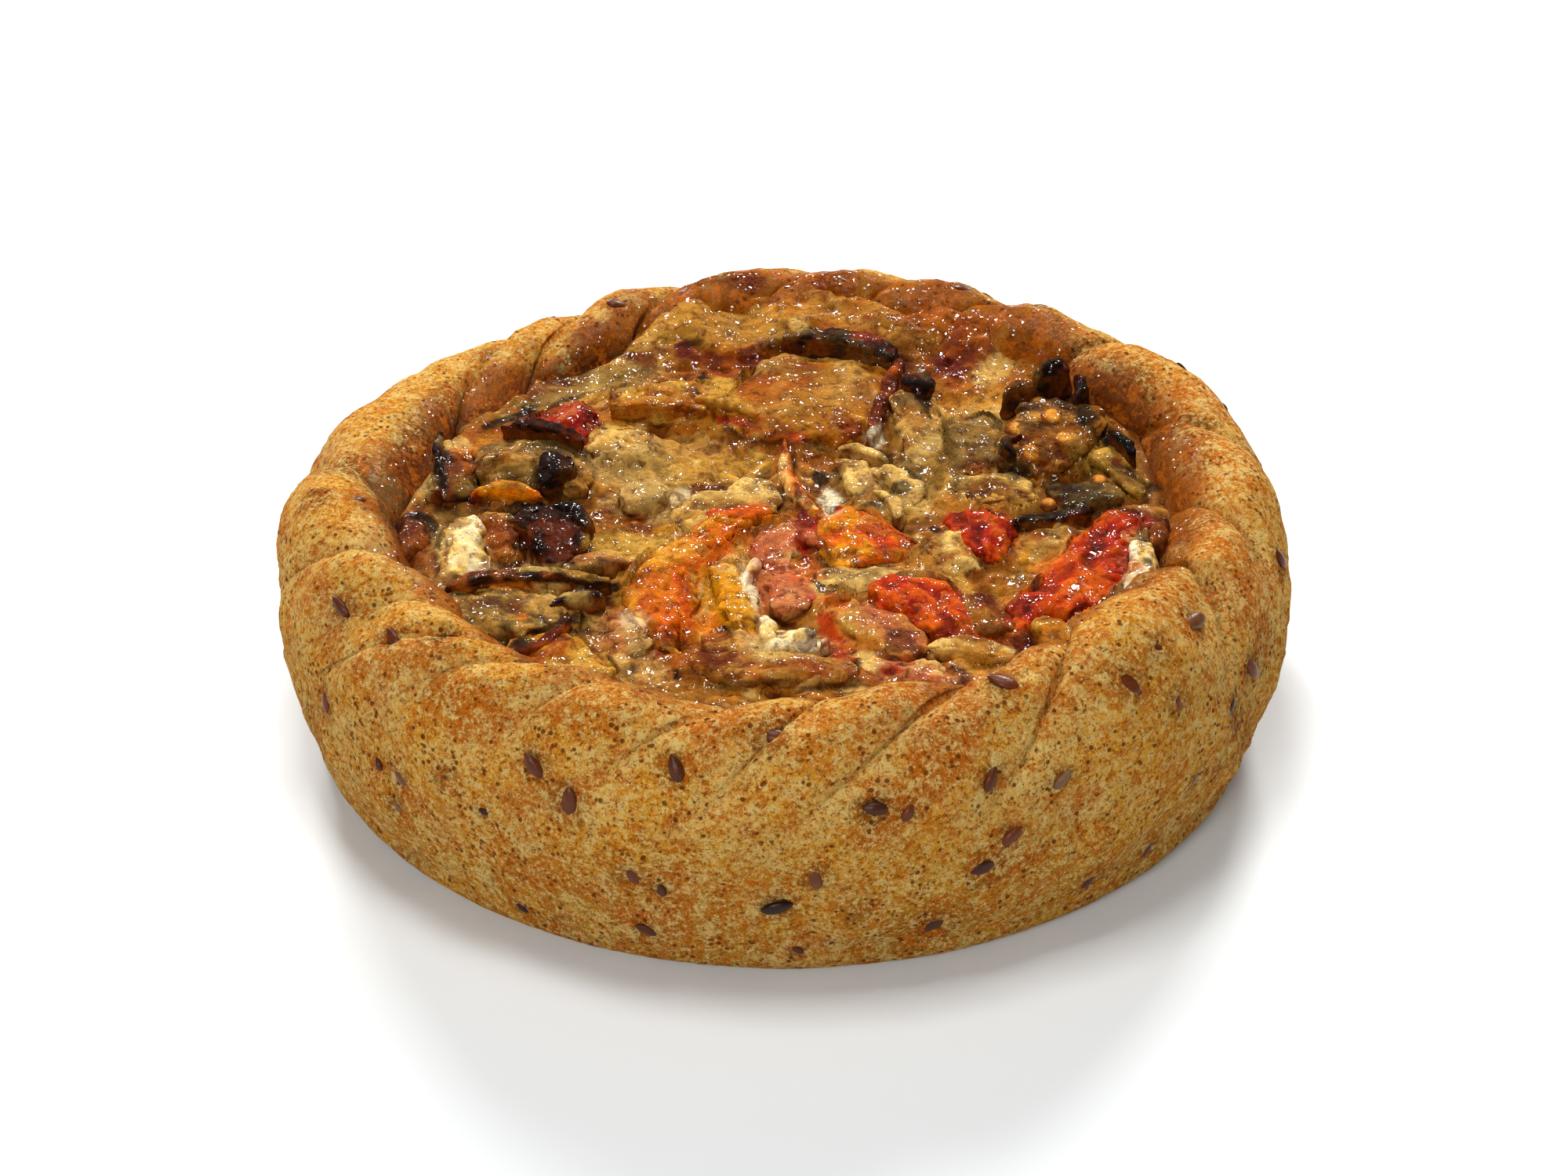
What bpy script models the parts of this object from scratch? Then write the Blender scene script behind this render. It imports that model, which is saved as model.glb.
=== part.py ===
"""Open savoury tart: rope-crimped wholemeal crust with linseeds, baked cheese filling, roast vegetables.

Lengths in the tables are millimetres and angles are degrees; meshes are made in metres, +Z up.
The origin is the middle of the flat underside. Azimuth 0 is +X and grows anticlockwise from above.
"""
import math
import random
from collections import namedtuple

import bmesh
import bpy
from mathutils import Vector, noise

MM = 0.001

# Crust section, from the flat underside up the wall, over the rolled rim and down inside
FLAT_RADIUS = 66.0
CORNER_RADIUS = 5.0
RIM_RADIUS = 75.0
WALL_TOP = 26.0
RIM_TOP = 40.0
ROLL_RADIUS = 64.3
LIP_RADIUS = 55.3
CAVITY_RADIUS = 61.0
CAVITY_HEIGHT = 15.0
FLOOR_HEIGHT = 6.0
FLOOR_INSET = 3.0
WALL_BULGE = 1.2
LUMP_SIZE = 0.8

# Section parameter: 0 to 1 is the wall, 1 to 3 the roll (2 is its crest), 3 and on the inside
CREST = 2.0
LIP = 3.0
WALL_STEPS = 3
ROLL_STEPS = 10
CORNER_STEPS = 3
UNDERSIDE_RING = 0.55

# Crimps: azimuth of the crease before each fold, its slant per unit of section, how deep the fold
# is, how far its crest is lifted, and where its ridge lies between its two creases
Fold = namedtuple("Fold", "crease slant relief lift ridge")
FOLDS = [
    Fold(-184.0, 12.0, 2.6, -0.6, 0.5),
    Fold(-160.0, 8.0, 3.6, 0.6, 0.5),
    Fold(-145.0, 11.0, 1.6, -0.6, 0.5),
    Fold(-135.0, 17.0, 2.2, 0.0, 0.5),
    Fold(-127.0, 14.0, 2.2, 0.2, 0.5),
    Fold(-115.0, 13.0, 1.8, -0.3, 0.5),
    Fold(-100.0, 14.0, 2.0, 0.0, 0.5),
    Fold(-88.0, 12.0, 2.4, 0.3, 0.5),
    Fold(-71.0, 20.0, 2.8, 0.4, 0.5),
    Fold(-54.0, 14.0, 4.6, 1.6, 0.32),
    Fold(-25.5, 9.0, 2.6, 0.0, 0.5),
    Fold(-10.0, 11.0, 3.0, 0.2, 0.5),
    Fold(13.0, 14.0, 3.6, 0.6, 0.6),
    Fold(41.0, 4.0, 1.8, 0.0, 0.5),
    Fold(60.0, 10.0, 2.0, -0.2, 0.5),
    Fold(74.0, 10.0, 1.8, -0.4, 0.5),
    Fold(89.0, 12.0, 2.2, -1.0, 0.5),
    Fold(108.0, 13.0, 3.2, -2.6, 0.4),
    Fold(124.0, 18.0, 2.8, -4.8, 0.5),
    Fold(137.0, 26.0, 3.0, -4.2, 0.5),
]
FOLD_COLUMNS = (0.0, 0.1, 0.28, 0.5, 0.72, 0.9)
COLUMNS = len(FOLDS) * len(FOLD_COLUMNS)
CREASE_SHARPNESS = 0.6
COARSE = 3

# Filling: level in the middle, and where its edge lies on the roll, at the sides and at the back
FILL_LEVEL = 33.2
EDGE_CLIMB = 1.4
BACK_CLIMB = 4.6
CLIMB_RADII = (42.0, 58.0)
EDGE_SECTION = 2.6
BACK_SECTION = 2.2
FILL_SHARES = (0.94, 0.83, 0.69, 0.53, 0.36, 0.18)
SIDE_STEPS = 3
FILL_LUMP = 1.2
FILL_LUMP_SCALE = 0.11
FILL_SEED = 3.0
FILL_GAP = 0.95
GAP = 0.35

# Linseeds baked into the crust, and the aubergine's own round seeds
SEED_LENGTH = 4.6
SEED_WIDTH = 2.3
SEED_HEIGHT = 1.3
SEED_SPACING = 8.0
SEED_COUNT = 36
FAR_AZIMUTHS = (0.0, 180.0)
FAR_SECTIONS = (0.1, 1.85)
SEED_TAPER = 0.62
SEED_CORNER = 0.7
DISC_WIDTH = 4.3
DISC_HEIGHT = 1.6

# Seeds on the near side: azimuth, section parameter, and how far the top leans to the left
SHOWN_SEEDS = [
    (-50.4, 1.55, 30.0), (-44.8, 1.65, 45.0), (-44.1, 1.30, 5.0), (-63.7, 1.90, 45.0),
    (-36.0, 1.65, 85.0), (-68.1, 1.25, -30.0), (-80.7, 1.20, 80.0), (-65.8, 0.80, -50.0),
    (-68.5, 0.62, -82.0), (-86.7, 0.70, 10.0), (-90.6, 0.45, -75.0), (-73.6, 0.15, -50.0),
    (-54.5, 0.20, -40.0), (-44.9, 0.15, -25.0), (-39.9, 0.60, -25.0), (-29.2, 0.10, -30.0),
    (-33.6, 0.95, -20.0), (-28.3, 1.10, 30.0), (-91.2, 1.75, 75.0), (-101.2, 1.45, 20.0),
    (-116.8, 1.30, 40.0), (-112.5, 1.10, 5.0), (-127.3, 1.00, 80.0), (-134.5, 0.80, 50.0),
    (-105.7, 0.65, 25.0), (-104.6, 0.15, 60.0), (-148.5, 0.95, 15.0), (-11.3, 1.35, 20.0),
    (-172.4, 1.80, 80.0), (-140.6, 1.70, 60.0),
]

# A piece of vegetable: middle, top height, size, and how it lies
Morsel = namedtuple("Morsel", "name x y top length width depth turn taper bend rise square")
MORSELS = [
    Morsel("aubergine_slab", 4.0, 31.0, 36.6, 24.0, 26.5, 8.0, -14.0, 0.0, 0.0, 0.0, 4.0),
    Morsel("aubergine_slab_skin", 9.3, 45.4, 38.6, 19.5, 5.4, 5.0, -21.0, 0.0, 0.6, 0.0, 3.0),
    Morsel("aubergine_slab_side", 15.6, 29.4, 37.4, 26.0, 2.2, 7.0, -103.0, 0.0, 0.0, -1.5, 3.0),
    Morsel("aubergine_fold_back", -17.5, 32.0, 36.0, 18.0, 10.5, 6.0, -10.0, 0.0, 1.0, 0.0, 3.0),
    Morsel("aubergine_stub", 20.6, 20.8, 37.2, 21.0, 7.2, 8.0, 97.0, -0.1, 0.0, 2.8, 2.6),
    Morsel("aubergine_flesh", 29.2, 19.0, 35.6, 15.5, 8.6, 6.0, 90.0, 0.0, 0.0, 1.0, 2.6),
    Morsel("aubergine_seedy", 40.4, 17.2, 38.0, 20.5, 13.6, 9.0, 62.0, 0.1, 0.0, 3.4, 2.6),
    Morsel("aubergine_stem", 49.8, 9.0, 36.0, 17.0, 4.6, 6.0, -66.0, 0.0, 0.0, 0.0, 2.2),
    Morsel("aubergine_fibrous", 31.6, 3.4, 36.0, 11.0, 9.6, 6.0, 4.0, 0.0, 0.0, 0.0, 2.8),
    Morsel("aubergine_grey", 44.4, 1.2, 36.2, 9.6, 8.2, 6.0, 10.0, 0.0, 0.0, 0.0, 2.4),
    Morsel("aubergine_curl", 39.4, -5.8, 36.6, 11.5, 2.4, 5.0, 16.0, 0.0, -0.8, 0.6, 2.0),
    Morsel("aubergine_tan", 39.6, -10.2, 35.4, 10.0, 4.8, 5.0, 4.0, 0.0, 0.0, 0.0, 2.4),
    Morsel("tomato_right", 42.6, -21.4, 37.2, 36.0, 12.0, 8.0, 58.0, 0.12, -1.5, 0.8, 2.4),
    Morsel("tomato_small", 29.0, -10.2, 36.2, 15.0, 8.4, 6.0, 100.0, 0.45, 0.0, 0.6, 2.2),
    Morsel("tomato_orange", 10.6, -10.4, 36.4, 16.5, 13.5, 6.5, 112.0, -0.4, 0.0, 0.6, 2.3),
    Morsel("tomato_glossy", 22.0, -31.0, 36.6, 22.5, 11.8, 7.0, -51.0, 0.0, 0.0, 0.0, 2.5),
    Morsel("tomato_flap", 13.0, -35.0, 35.8, 18.0, 7.4, 6.0, -54.0, -0.15, 0.5, 0.0, 2.4),
    Morsel("tomato_amber_long", -12.5, -22.0, 36.2, 40.0, 7.6, 6.5, 69.0, -0.35, 5.0, 0.4, 2.2),
    Morsel("tomato_amber_short", -6.6, -26.8, 35.9, 19.0, 6.0, 6.0, -82.0, -0.3, 0.0, 0.0, 2.2),
    Morsel("tomato_front", 17.8, -46.6, 35.2, 15.5, 5.0, 5.5, -18.0, 0.0, 0.4, 0.0, 2.3),
    Morsel("tomato_back", -33.4, 23.2, 36.4, 15.0, 12.4, 7.0, 72.0, -0.4, 0.0, 1.2, 2.2),
    Morsel("tomato_strip", 2.2, 6.4, 35.8, 25.5, 2.5, 4.5, -75.0, 0.1, -1.2, -0.2, 2.0),
    Morsel("tomato_dark", -54.0, -10.0, 36.2, 11.0, 4.8, 6.0, 93.0, 0.0, 0.0, 0.4, 2.2),
    Morsel("onion_clear", 11.2, -21.3, 35.2, 14.0, 5.2, 4.5, -3.0, -0.25, 0.0, 0.0, 2.6),
    Morsel("onion_tan", 23.8, -14.6, 35.9, 13.0, 7.0, 6.0, -64.0, 0.0, 0.0, -0.4, 2.4),
    Morsel("onion_wedge_left", 11.4, 6.2, 35.6, 14.0, 4.4, 5.0, -68.0, 0.0, 0.6, 0.0, 2.3),
    Morsel("onion_wedge_right", 17.2, 5.6, 35.8, 13.0, 4.6, 5.5, -60.0, 0.0, 0.8, 0.0, 2.3),
    Morsel("onion_dark_right", 53.8, -13.2, 38.4, 9.5, 3.4, 7.0, 84.0, 0.0, 0.0, 0.4, 2.2),
    Morsel("onion_cream_right", 50.6, -22.4, 38.0, 13.0, 4.0, 7.0, 78.0, 0.0, -0.4, 0.4, 2.2),
    Morsel("onion_cream_left", -46.2, -14.0, 36.2, 17.0, 6.8, 6.5, -84.0, 0.15, 0.0, -0.8, 2.4),
    Morsel("aubergine_skin_front", -35.4, -40.4, 36.6, 18.0, 2.0, 6.0, 43.0, 0.0, -2.2, 0.4, 2.0),
    Morsel("onion_amber", -30.6, -44.6, 36.2, 17.5, 10.4, 7.0, -48.0, 0.0, 0.6, 0.0, 2.4),
    Morsel("aubergine_slice", -37.4, 9.0, 37.2, 16.5, 14.0, 8.0, 2.0, 0.0, 0.0, 0.0, 2.8),
    Morsel("aubergine_char", -34.2, 4.8, 39.2, 9.0, 4.4, 6.0, 84.0, 0.0, -0.8, 0.0, 2.2),
    Morsel("aubergine_rind", -40.6, -0.8, 38.0, 10.6, 2.8, 6.0, -4.0, 0.0, 1.2, 0.0, 2.0),
    Morsel("aubergine_skin_left", -34.0, -10.4, 36.6, 15.5, 9.0, 7.0, -70.0, -0.1, 0.0, -1.4, 2.4),
    Morsel("aubergine_amber", -41.6, -9.6, 35.8, 12.5, 5.6, 6.0, -76.0, 0.0, 0.0, -0.6, 2.4),
    Morsel("aubergine_tip", -49.4, 5.2, 38.0, 15.0, 5.8, 8.0, 99.0, -0.45, 0.0, 1.2, 2.2),
    Morsel("aubergine_slice_front", -37.6, -32.9, 37.0, 20.0, 11.4, 8.0, -7.0, -0.25, 0.0, 0.0, 2.8),
    Morsel("aubergine_ridge_front", -36.2, -26.0, 38.0, 23.5, 3.0, 7.0, 4.0, 0.15, 0.6, 0.5, 2.2),
    Morsel("aubergine_roll", -1.6, -46.6, 36.4, 23.5, 6.4, 7.0, -5.0, 0.0, -1.0, 0.0, 2.2),
    Morsel("aubergine_tan_slice", -8.6, -1.8, 35.5, 18.5, 9.6, 5.0, 36.0, 0.0, 0.0, 0.0, 2.8),
    Morsel("aubergine_pale", -24.4, 17.4, 35.4, 10.5, 8.6, 5.0, -5.0, 0.0, 0.0, 0.0, 3.0),
    Morsel("aubergine_lump", -9.2, -40.4, 35.8, 8.0, 4.4, 5.5, 84.0, 0.0, 0.0, 0.0, 2.2),
    Morsel("onion_mauve", -21.8, -36.0, 35.4, 10.0, 6.0, 5.0, -72.0, 0.0, 0.0, 0.0, 2.4),
    Morsel("cheese_curd", 0.0, -38.8, 35.6, 7.0, 3.8, 5.0, 35.0, 0.0, 0.0, 0.0, 2.2),
]
STATIONS = 5
RING_POINTS = 6
BIG_PIECE = 14.0
BIG_STATIONS = 7
BIG_RING_POINTS = 8
MORSEL_SEED = 11
MORSEL_LUMP = 0.45
MORSEL_LUMP_SCALE = 0.35
EVEN_SHARE = 0.4
POLE_SHARE = 0.12

# Round seeds on the seedy piece: place on its top and turn
ROUND_SEEDS = [(35.4, 17.2, 10.0), (40.8, 19.4, 60.0), (42.4, 14.0, 80.0), (37.2, 11.4, 40.0)]

# Principled colour, roughness and metallic value for each kind of piece
COLOURS = {
    "crust": ((0.47, 0.26, 0.10), 0.75),
    "filling": ((0.52, 0.30, 0.09), 0.35),
    "aubergine": ((0.30, 0.22, 0.10), 0.45),
    "skin": ((0.035, 0.015, 0.012), 0.35),
    "golden": ((0.50, 0.31, 0.10), 0.4),
    "tomato": ((0.55, 0.06, 0.015), 0.25),
    "amber": ((0.62, 0.17, 0.02), 0.25),
    "onion": ((0.50, 0.40, 0.20), 0.35),
    "cheese": ((0.75, 0.66, 0.45), 0.4),
}


def blend(a, b, share):
    return a + (b - a) * share


def smooth(low, high, value):
    share = min(1.0, max(0.0, (value - low) / (high - low)))
    return share * share * (3.0 - 2.0 * share)


def crease_azimuth(number, section):
    """Azimuth of a crease where it crosses the given place of the roll."""
    turns, row = divmod(number, len(FOLDS))
    fold = FOLDS[row]
    along = min(LIP, max(1.0, section)) - CREST
    return fold.crease + fold.slant * along + 360.0 * turns


def fold_at(azimuth, section):
    """Which fold an azimuth falls in, and how far across it from 0 to 1."""
    first = crease_azimuth(0, section)
    azimuth = first + (azimuth - first) % 360.0
    number = 0
    while crease_azimuth(number + 1, section) <= azimuth:
        number += 1
    low = crease_azimuth(number, section)
    high = crease_azimuth(number + 1, section)
    return number % len(FOLDS), (azimuth - low) / (high - low)


def section_point(section):
    """Radius and height of the plain section, before the folds."""
    if section <= 1.0:
        low_radius = FLAT_RADIUS + CORNER_RADIUS
        radius = blend(low_radius, RIM_RADIUS, section) + WALL_BULGE * math.sin(math.pi * section)
        return radius, blend(CORNER_RADIUS, WALL_TOP, section)
    angle = math.pi * (section - 1.0) / 2.0
    reach = RIM_RADIUS - ROLL_RADIUS if section < CREST else ROLL_RADIUS - LIP_RADIUS
    return ROLL_RADIUS + reach * math.cos(angle), WALL_TOP + (RIM_TOP - WALL_TOP) * math.sin(angle)


def relief_share(section):
    """The folds are deepest over the crest and fade down the wall."""
    return smooth(0.85, 1.85, section) * blend(1.0, 0.65, smooth(2.3, LIP, section))


def fold_relief(azimuth, section):
    """Height of the folded surface along the section's normal."""
    number, across = fold_at(azimuth, section)
    fold = FOLDS[number]
    skew = math.log(0.5) / math.log(fold.ridge)
    rise = max(0.0, math.sin(math.pi * across ** skew)) ** CREASE_SHARPNESS
    return fold.relief * (rise - 0.5) * relief_share(section)


def fold_lift(azimuth, section):
    """Rise of the crest, blended from each fold's middle to the next."""
    number, across = fold_at(azimuth, section)
    before = FOLDS[number - 1].lift
    here = FOLDS[number].lift
    after = FOLDS[(number + 1) % len(FOLDS)].lift
    if across < 0.5:
        return blend(before, here, smooth(-0.5, 0.5, across)) * smooth(0.0, CREST, section)
    return blend(here, after, smooth(0.5, 1.5, across)) * smooth(0.0, CREST, section)


def crust_point(azimuth, section, clear=0.0):
    """A point of the crust's outer face or roll, or one held clear of it, in millimetres."""
    radius, height = section_point(section)
    ahead_radius, ahead_height = section_point(section + 0.01)
    run, climb = ahead_radius - radius, ahead_height - height
    length = math.hypot(run, climb)
    turn = math.radians(azimuth)
    lump = noise.noise(Vector((2.2 * math.cos(turn), 2.2 * math.sin(turn), 0.05 * height)))
    relief = fold_relief(azimuth, section) + LUMP_SIZE * lump + clear
    radius += relief * climb / length
    height += relief * -run / length + fold_lift(azimuth, section)
    return Vector((radius * math.cos(turn), radius * math.sin(turn), height))


def column_azimuth(column, section):
    """Azimuth of a column of the mesh: the columns run along the creases."""
    number, place = divmod(column, len(FOLD_COLUMNS))
    low = crease_azimuth(number, section)
    return blend(low, crease_azimuth(number + 1, section), FOLD_COLUMNS[place])


def round_point(radius, height, azimuth):
    turn = math.radians(azimuth)
    return Vector((radius * math.cos(turn), radius * math.sin(turn), height))


def plain_ring(radius, height, section, step=1):
    """A round level ring, with every column of the mesh or only some."""
    return [round_point(radius, height, column_azimuth(column, section))
            for column in range(0, COLUMNS, step)]


def crust_rings():
    """Rings of the crust from the middle of its underside round to the middle of its floor."""
    rings = [plain_ring(FLAT_RADIUS * UNDERSIDE_RING, 0.0, 0.0, COARSE), plain_ring(FLAT_RADIUS, 0.0, 0.0)]
    for step in range(1, CORNER_STEPS):
        angle = math.radians(90.0 * step / CORNER_STEPS)
        rings.append(plain_ring(FLAT_RADIUS + CORNER_RADIUS * math.sin(angle),
                                CORNER_RADIUS * (1.0 - math.cos(angle)), 0.0))
    sections = [step / WALL_STEPS for step in range(WALL_STEPS)]
    sections += [1.0 + 2.0 * step / ROLL_STEPS for step in range(ROLL_STEPS + 1)]
    for section in sections:
        rings.append([crust_point(column_azimuth(column, section), section)
                      for column in range(COLUMNS)])
    rings.append(plain_ring(CAVITY_RADIUS, CAVITY_HEIGHT, LIP, COARSE))
    rings.append(plain_ring(CAVITY_RADIUS - FLOOR_INSET, FLOOR_HEIGHT, LIP, COARSE))
    return rings


def stitch(shape, fine, coarse):
    """Faces between a ring with every column and one with some of them."""
    ratio = len(fine) // len(coarse)
    for i, corner in enumerate(coarse):
        after = coarse[(i + 1) % len(coarse)]
        start = i * ratio
        for k in range(ratio):
            pair = (fine[start + k], fine[(start + k + 1) % len(fine)])
            shape.faces.new((*pair, corner if k < ratio - 1 else after))
        shape.faces.new((fine[start + ratio - 1], after, corner))


def loft(name, rings, first_pole=None, last_pole=None):
    """A closed solid through rings of points, its ends flat or brought to a pole."""
    mesh = bpy.data.meshes.new(name)
    shape = bmesh.new()
    loops = [[shape.verts.new(point * MM) for point in ring] for ring in rings]
    for low, high in zip(loops, loops[1:]):
        count = len(low)
        if len(high) != count:
            fine, coarse = (low, high) if len(low) > len(high) else (high, low)
            stitch(shape, fine, coarse)
            continue
        for i in range(count):
            j = (i + 1) % count
            shape.faces.new((low[i], low[j], high[j]))
            shape.faces.new((low[i], high[j], high[i]))
    for loop, pole in ((loops[0], first_pole), (loops[-1], last_pole)):
        if pole is None:
            shape.faces.new(loop)
            continue
        tip = shape.verts.new(pole * MM)
        for i in range(len(loop)):
            shape.faces.new((loop[i], loop[(i + 1) % len(loop)], tip))
    bmesh.ops.recalc_face_normals(shape, faces=shape.faces)
    if shape.calc_volume(signed=True) < 0.0:
        bmesh.ops.reverse_faces(shape, faces=shape.faces)
    bmesh.ops.triangulate(shape, faces=[face for face in shape.faces if len(face.verts) > 4])
    shape.to_mesh(mesh)
    shape.free()
    thing = bpy.data.objects.new(name, mesh)
    bpy.context.collection.objects.link(thing)
    return thing


def inflated(thing, distance):
    """A copy of a solid with its faces moved out by the gap."""
    mesh = thing.data.copy()
    normals = [vertex.normal.copy() for vertex in mesh.vertices]
    for vertex, normal in zip(mesh.vertices, normals):
        vertex.co += normal * distance * MM
    copy = bpy.data.objects.new(thing.name + "_clear", mesh)
    bpy.context.collection.objects.link(copy)
    return copy


def keep_largest(mesh):
    """Drop any loose scrap that a cut leaves."""
    shape = bmesh.new()
    shape.from_mesh(mesh)
    islands = []
    unseen = set(shape.verts)
    while unseen:
        front = [unseen.pop()]
        island = set(front)
        while front:
            for edge in front.pop().link_edges:
                for vertex in edge.verts:
                    if vertex in unseen:
                        unseen.discard(vertex)
                        island.add(vertex)
                        front.append(vertex)
        islands.append(island)
    islands.sort(key=len)
    scraps = [vertex for island in islands[:-1] for vertex in island]
    bmesh.ops.delete(shape, geom=scraps, context='VERTS')
    bmesh.ops.dissolve_degenerate(shape, dist=0.002 * MM, edges=shape.edges)
    bmesh.ops.triangulate(shape, faces=shape.faces)
    shape.to_mesh(mesh)
    shape.free()


def combine(thing, others, operation):
    """One Boolean on a collection, applied; the collection's objects are then removed."""
    group = bpy.data.collections.new(thing.name + "_bits")
    bpy.context.scene.collection.children.link(group)
    for other in others:
        group.objects.link(other)
    modifier = thing.modifiers.new("join", 'BOOLEAN')
    modifier.operation = operation
    modifier.operand_type = 'COLLECTION'
    modifier.collection = group
    modifier.solver = 'EXACT'
    graph = bpy.context.evaluated_depsgraph_get()
    mesh = bpy.data.meshes.new_from_object(thing.evaluated_get(graph))
    thing.modifiers.remove(modifier)
    thing.data = mesh
    for other in others:
        bpy.data.objects.remove(other)
    bpy.data.collections.remove(group)
    keep_largest(mesh)


def surface_frame(azimuth, section):
    """A point of the crust with its outward normal and its upward direction."""
    point = crust_point(azimuth, section)
    up = (crust_point(azimuth, section + 0.05) - crust_point(azimuth, section - 0.05)).normalized()
    side = (crust_point(azimuth + 1.0, section) - crust_point(azimuth - 1.0, section)).normalized()
    return point, side.cross(up).normalized(), up


def grain(name, middle, normal, along, length, width, height):
    """A seed: a four-sided lens, pointed at both ends."""
    across = normal.cross(along).normalized()
    along = across.cross(normal).normalized()
    rings = []
    for place, share in ((-SEED_TAPER, SEED_TAPER), (0.0, 1.0), (SEED_TAPER, SEED_TAPER)):
        ring = []
        for i in range(4):
            angle = math.radians(45.0 + 90.0 * i)
            ring.append(middle + along * place * length / 2.0
                        + across * math.cos(angle) * width * share * SEED_CORNER
                        + normal * math.sin(angle) * height * share * SEED_CORNER)
        rings.append(ring)
    ends = (middle - along * length / 2.0, middle + along * length / 2.0)
    return loft(name, rings, *ends)


def seed_spots():
    """The seeds of the near side, then more on the far side by a seeded draw, kept apart."""
    draw = random.Random(5)
    spots = []
    points = []
    for azimuth, section, turn in SHOWN_SEEDS:
        spots.append((azimuth, section, turn))
        points.append(crust_point(azimuth, section))
    while len(spots) < SEED_COUNT:
        azimuth = draw.uniform(*FAR_AZIMUTHS)
        section = draw.uniform(*FAR_SECTIONS)
        point = crust_point(azimuth, section)
        across = fold_at(azimuth, section)[1]
        near = min((point - other).length for other in points)
        if near > SEED_SPACING and (section < 0.9 or 0.25 < across < 0.75):
            spots.append((azimuth, section, draw.uniform(0.0, 90.0)))
            points.append(point)
    return spots


def make_crust():
    return loft("crust", crust_rings(), Vector((0.0, 0.0, 0.0)), Vector((0.0, 0.0, FLOOR_HEIGHT)))


def add_linseeds(crust):
    grains = []
    for number, (azimuth, section, turn) in enumerate(seed_spots()):
        point, normal, up = surface_frame(azimuth, section)
        side = normal.cross(up)
        angle = math.radians(turn)
        along = up * math.cos(angle) + side * math.sin(angle)
        grains.append(grain("linseed_%d" % number, point, normal, along,
                            SEED_LENGTH, SEED_WIDTH, SEED_HEIGHT))
    combine(crust, grains, 'UNION')


def back_share(azimuth):
    """1 over the back of the rim, where the cheese has climbed to the crest, and 0 elsewhere."""
    return smooth(38.0, 52.0, azimuth) * (1.0 - smooth(104.0, 120.0, azimuth))


def fill_height(radius, azimuth):
    """Top of the baked cheese: level in the middle, climbing the rim, most of all at the back."""
    climb = smooth(*CLIMB_RADII, radius) * blend(EDGE_CLIMB, BACK_CLIMB, back_share(azimuth))
    x, y = round_point(radius, 0.0, azimuth).xy
    place = Vector((x, y, 0.0)) * FILL_LUMP_SCALE + Vector((0.0, 0.0, FILL_SEED))
    return FILL_LEVEL + climb + FILL_LUMP * noise.noise(place)


def fill_edge(column, step):
    """A point of the filling's side, which follows the roll from its edge down to the lip."""
    azimuth = column_azimuth(column, CREST)
    azimuth -= 360.0 if azimuth > 180.0 else 0.0
    edge = blend(EDGE_SECTION, BACK_SECTION, back_share(azimuth))
    section = blend(edge, LIP, step / SIDE_STEPS)
    return crust_point(column_azimuth(column, section), section, FILL_GAP)


def make_filling():
    """The cheese layer fills the crust from its floor up to the fold's inner side."""
    rings = [plain_ring(CAVITY_RADIUS - FLOOR_INSET - GAP, FLOOR_HEIGHT + GAP, LIP, COARSE),
             plain_ring(CAVITY_RADIUS - FILL_GAP, CAVITY_HEIGHT, LIP, COARSE)]
    for step in range(SIDE_STEPS, -1, -1):
        rings.append([fill_edge(column, step) for column in range(COLUMNS)])
    for share in FILL_SHARES:
        ring = []
        for column in range(0, COLUMNS, COARSE):
            edge = fill_edge(column, 0)
            azimuth = math.degrees(math.atan2(edge.y, edge.x))
            radius = share * edge.xy.length
            ring.append(round_point(radius, fill_height(radius, azimuth), azimuth))
        rings.append(ring)
    return loft("filling", rings, Vector((0.0, 0.0, FLOOR_HEIGHT + GAP)),
                Vector((0.0, 0.0, fill_height(0.0, 0.0))))


def morsel_point(piece, along, angle):
    """A point of a piece: along from -1 to 1, and an angle round its section."""
    power = piece.square
    width = 0.5 * piece.width * (1.0 - abs(along) ** power) ** (1.0 / power) * (1.0 + piece.taper * along)
    depth = 0.5 * piece.depth * (1.0 - 0.5 * abs(along) ** 3.0)
    flat = 2.0 / power
    cosine, sine = math.cos(angle), math.sin(angle)
    across = width * math.copysign(abs(cosine) ** flat, cosine) + piece.bend * (1.0 - 2.0 * along * along)
    up = depth * math.copysign(abs(sine) ** flat, sine) + 0.5 * piece.rise * along
    turn = math.radians(piece.turn)
    run = 0.5 * piece.length * along
    x = piece.x + run * math.cos(turn) - across * math.sin(turn)
    y = piece.y + run * math.sin(turn) + across * math.cos(turn)
    place = Vector((x, y, up)) * MORSEL_LUMP_SCALE + Vector((0.0, 0.0, MORSEL_SEED))
    return Vector((x, y, piece.top - 0.5 * piece.depth + up + MORSEL_LUMP * noise.noise(place)))


def make_morsel(piece):
    big = piece.length * piece.width > BIG_PIECE ** 2
    stations = BIG_STATIONS if big else STATIONS
    points = BIG_RING_POINTS if big else RING_POINTS
    rings = []
    for step in range(stations):
        rounded = -math.cos(math.pi * (step + 0.5) / stations)
        along = blend(rounded, (2.0 * step + 1.0) / stations - 1.0, EVEN_SHARE)
        rings.append([morsel_point(piece, along, math.tau * i / points + math.pi / 2.0)
                      for i in range(points)])
    ends = [sum(ring, Vector()) / points for ring in (rings[0], rings[-1])]
    middles = [sum(ring, Vector()) / points for ring in (rings[1], rings[-2])]
    poles = [end + (end - middle) * POLE_SHARE for end, middle in zip(ends, middles)]
    return loft(piece.name, rings, *poles)


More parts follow.
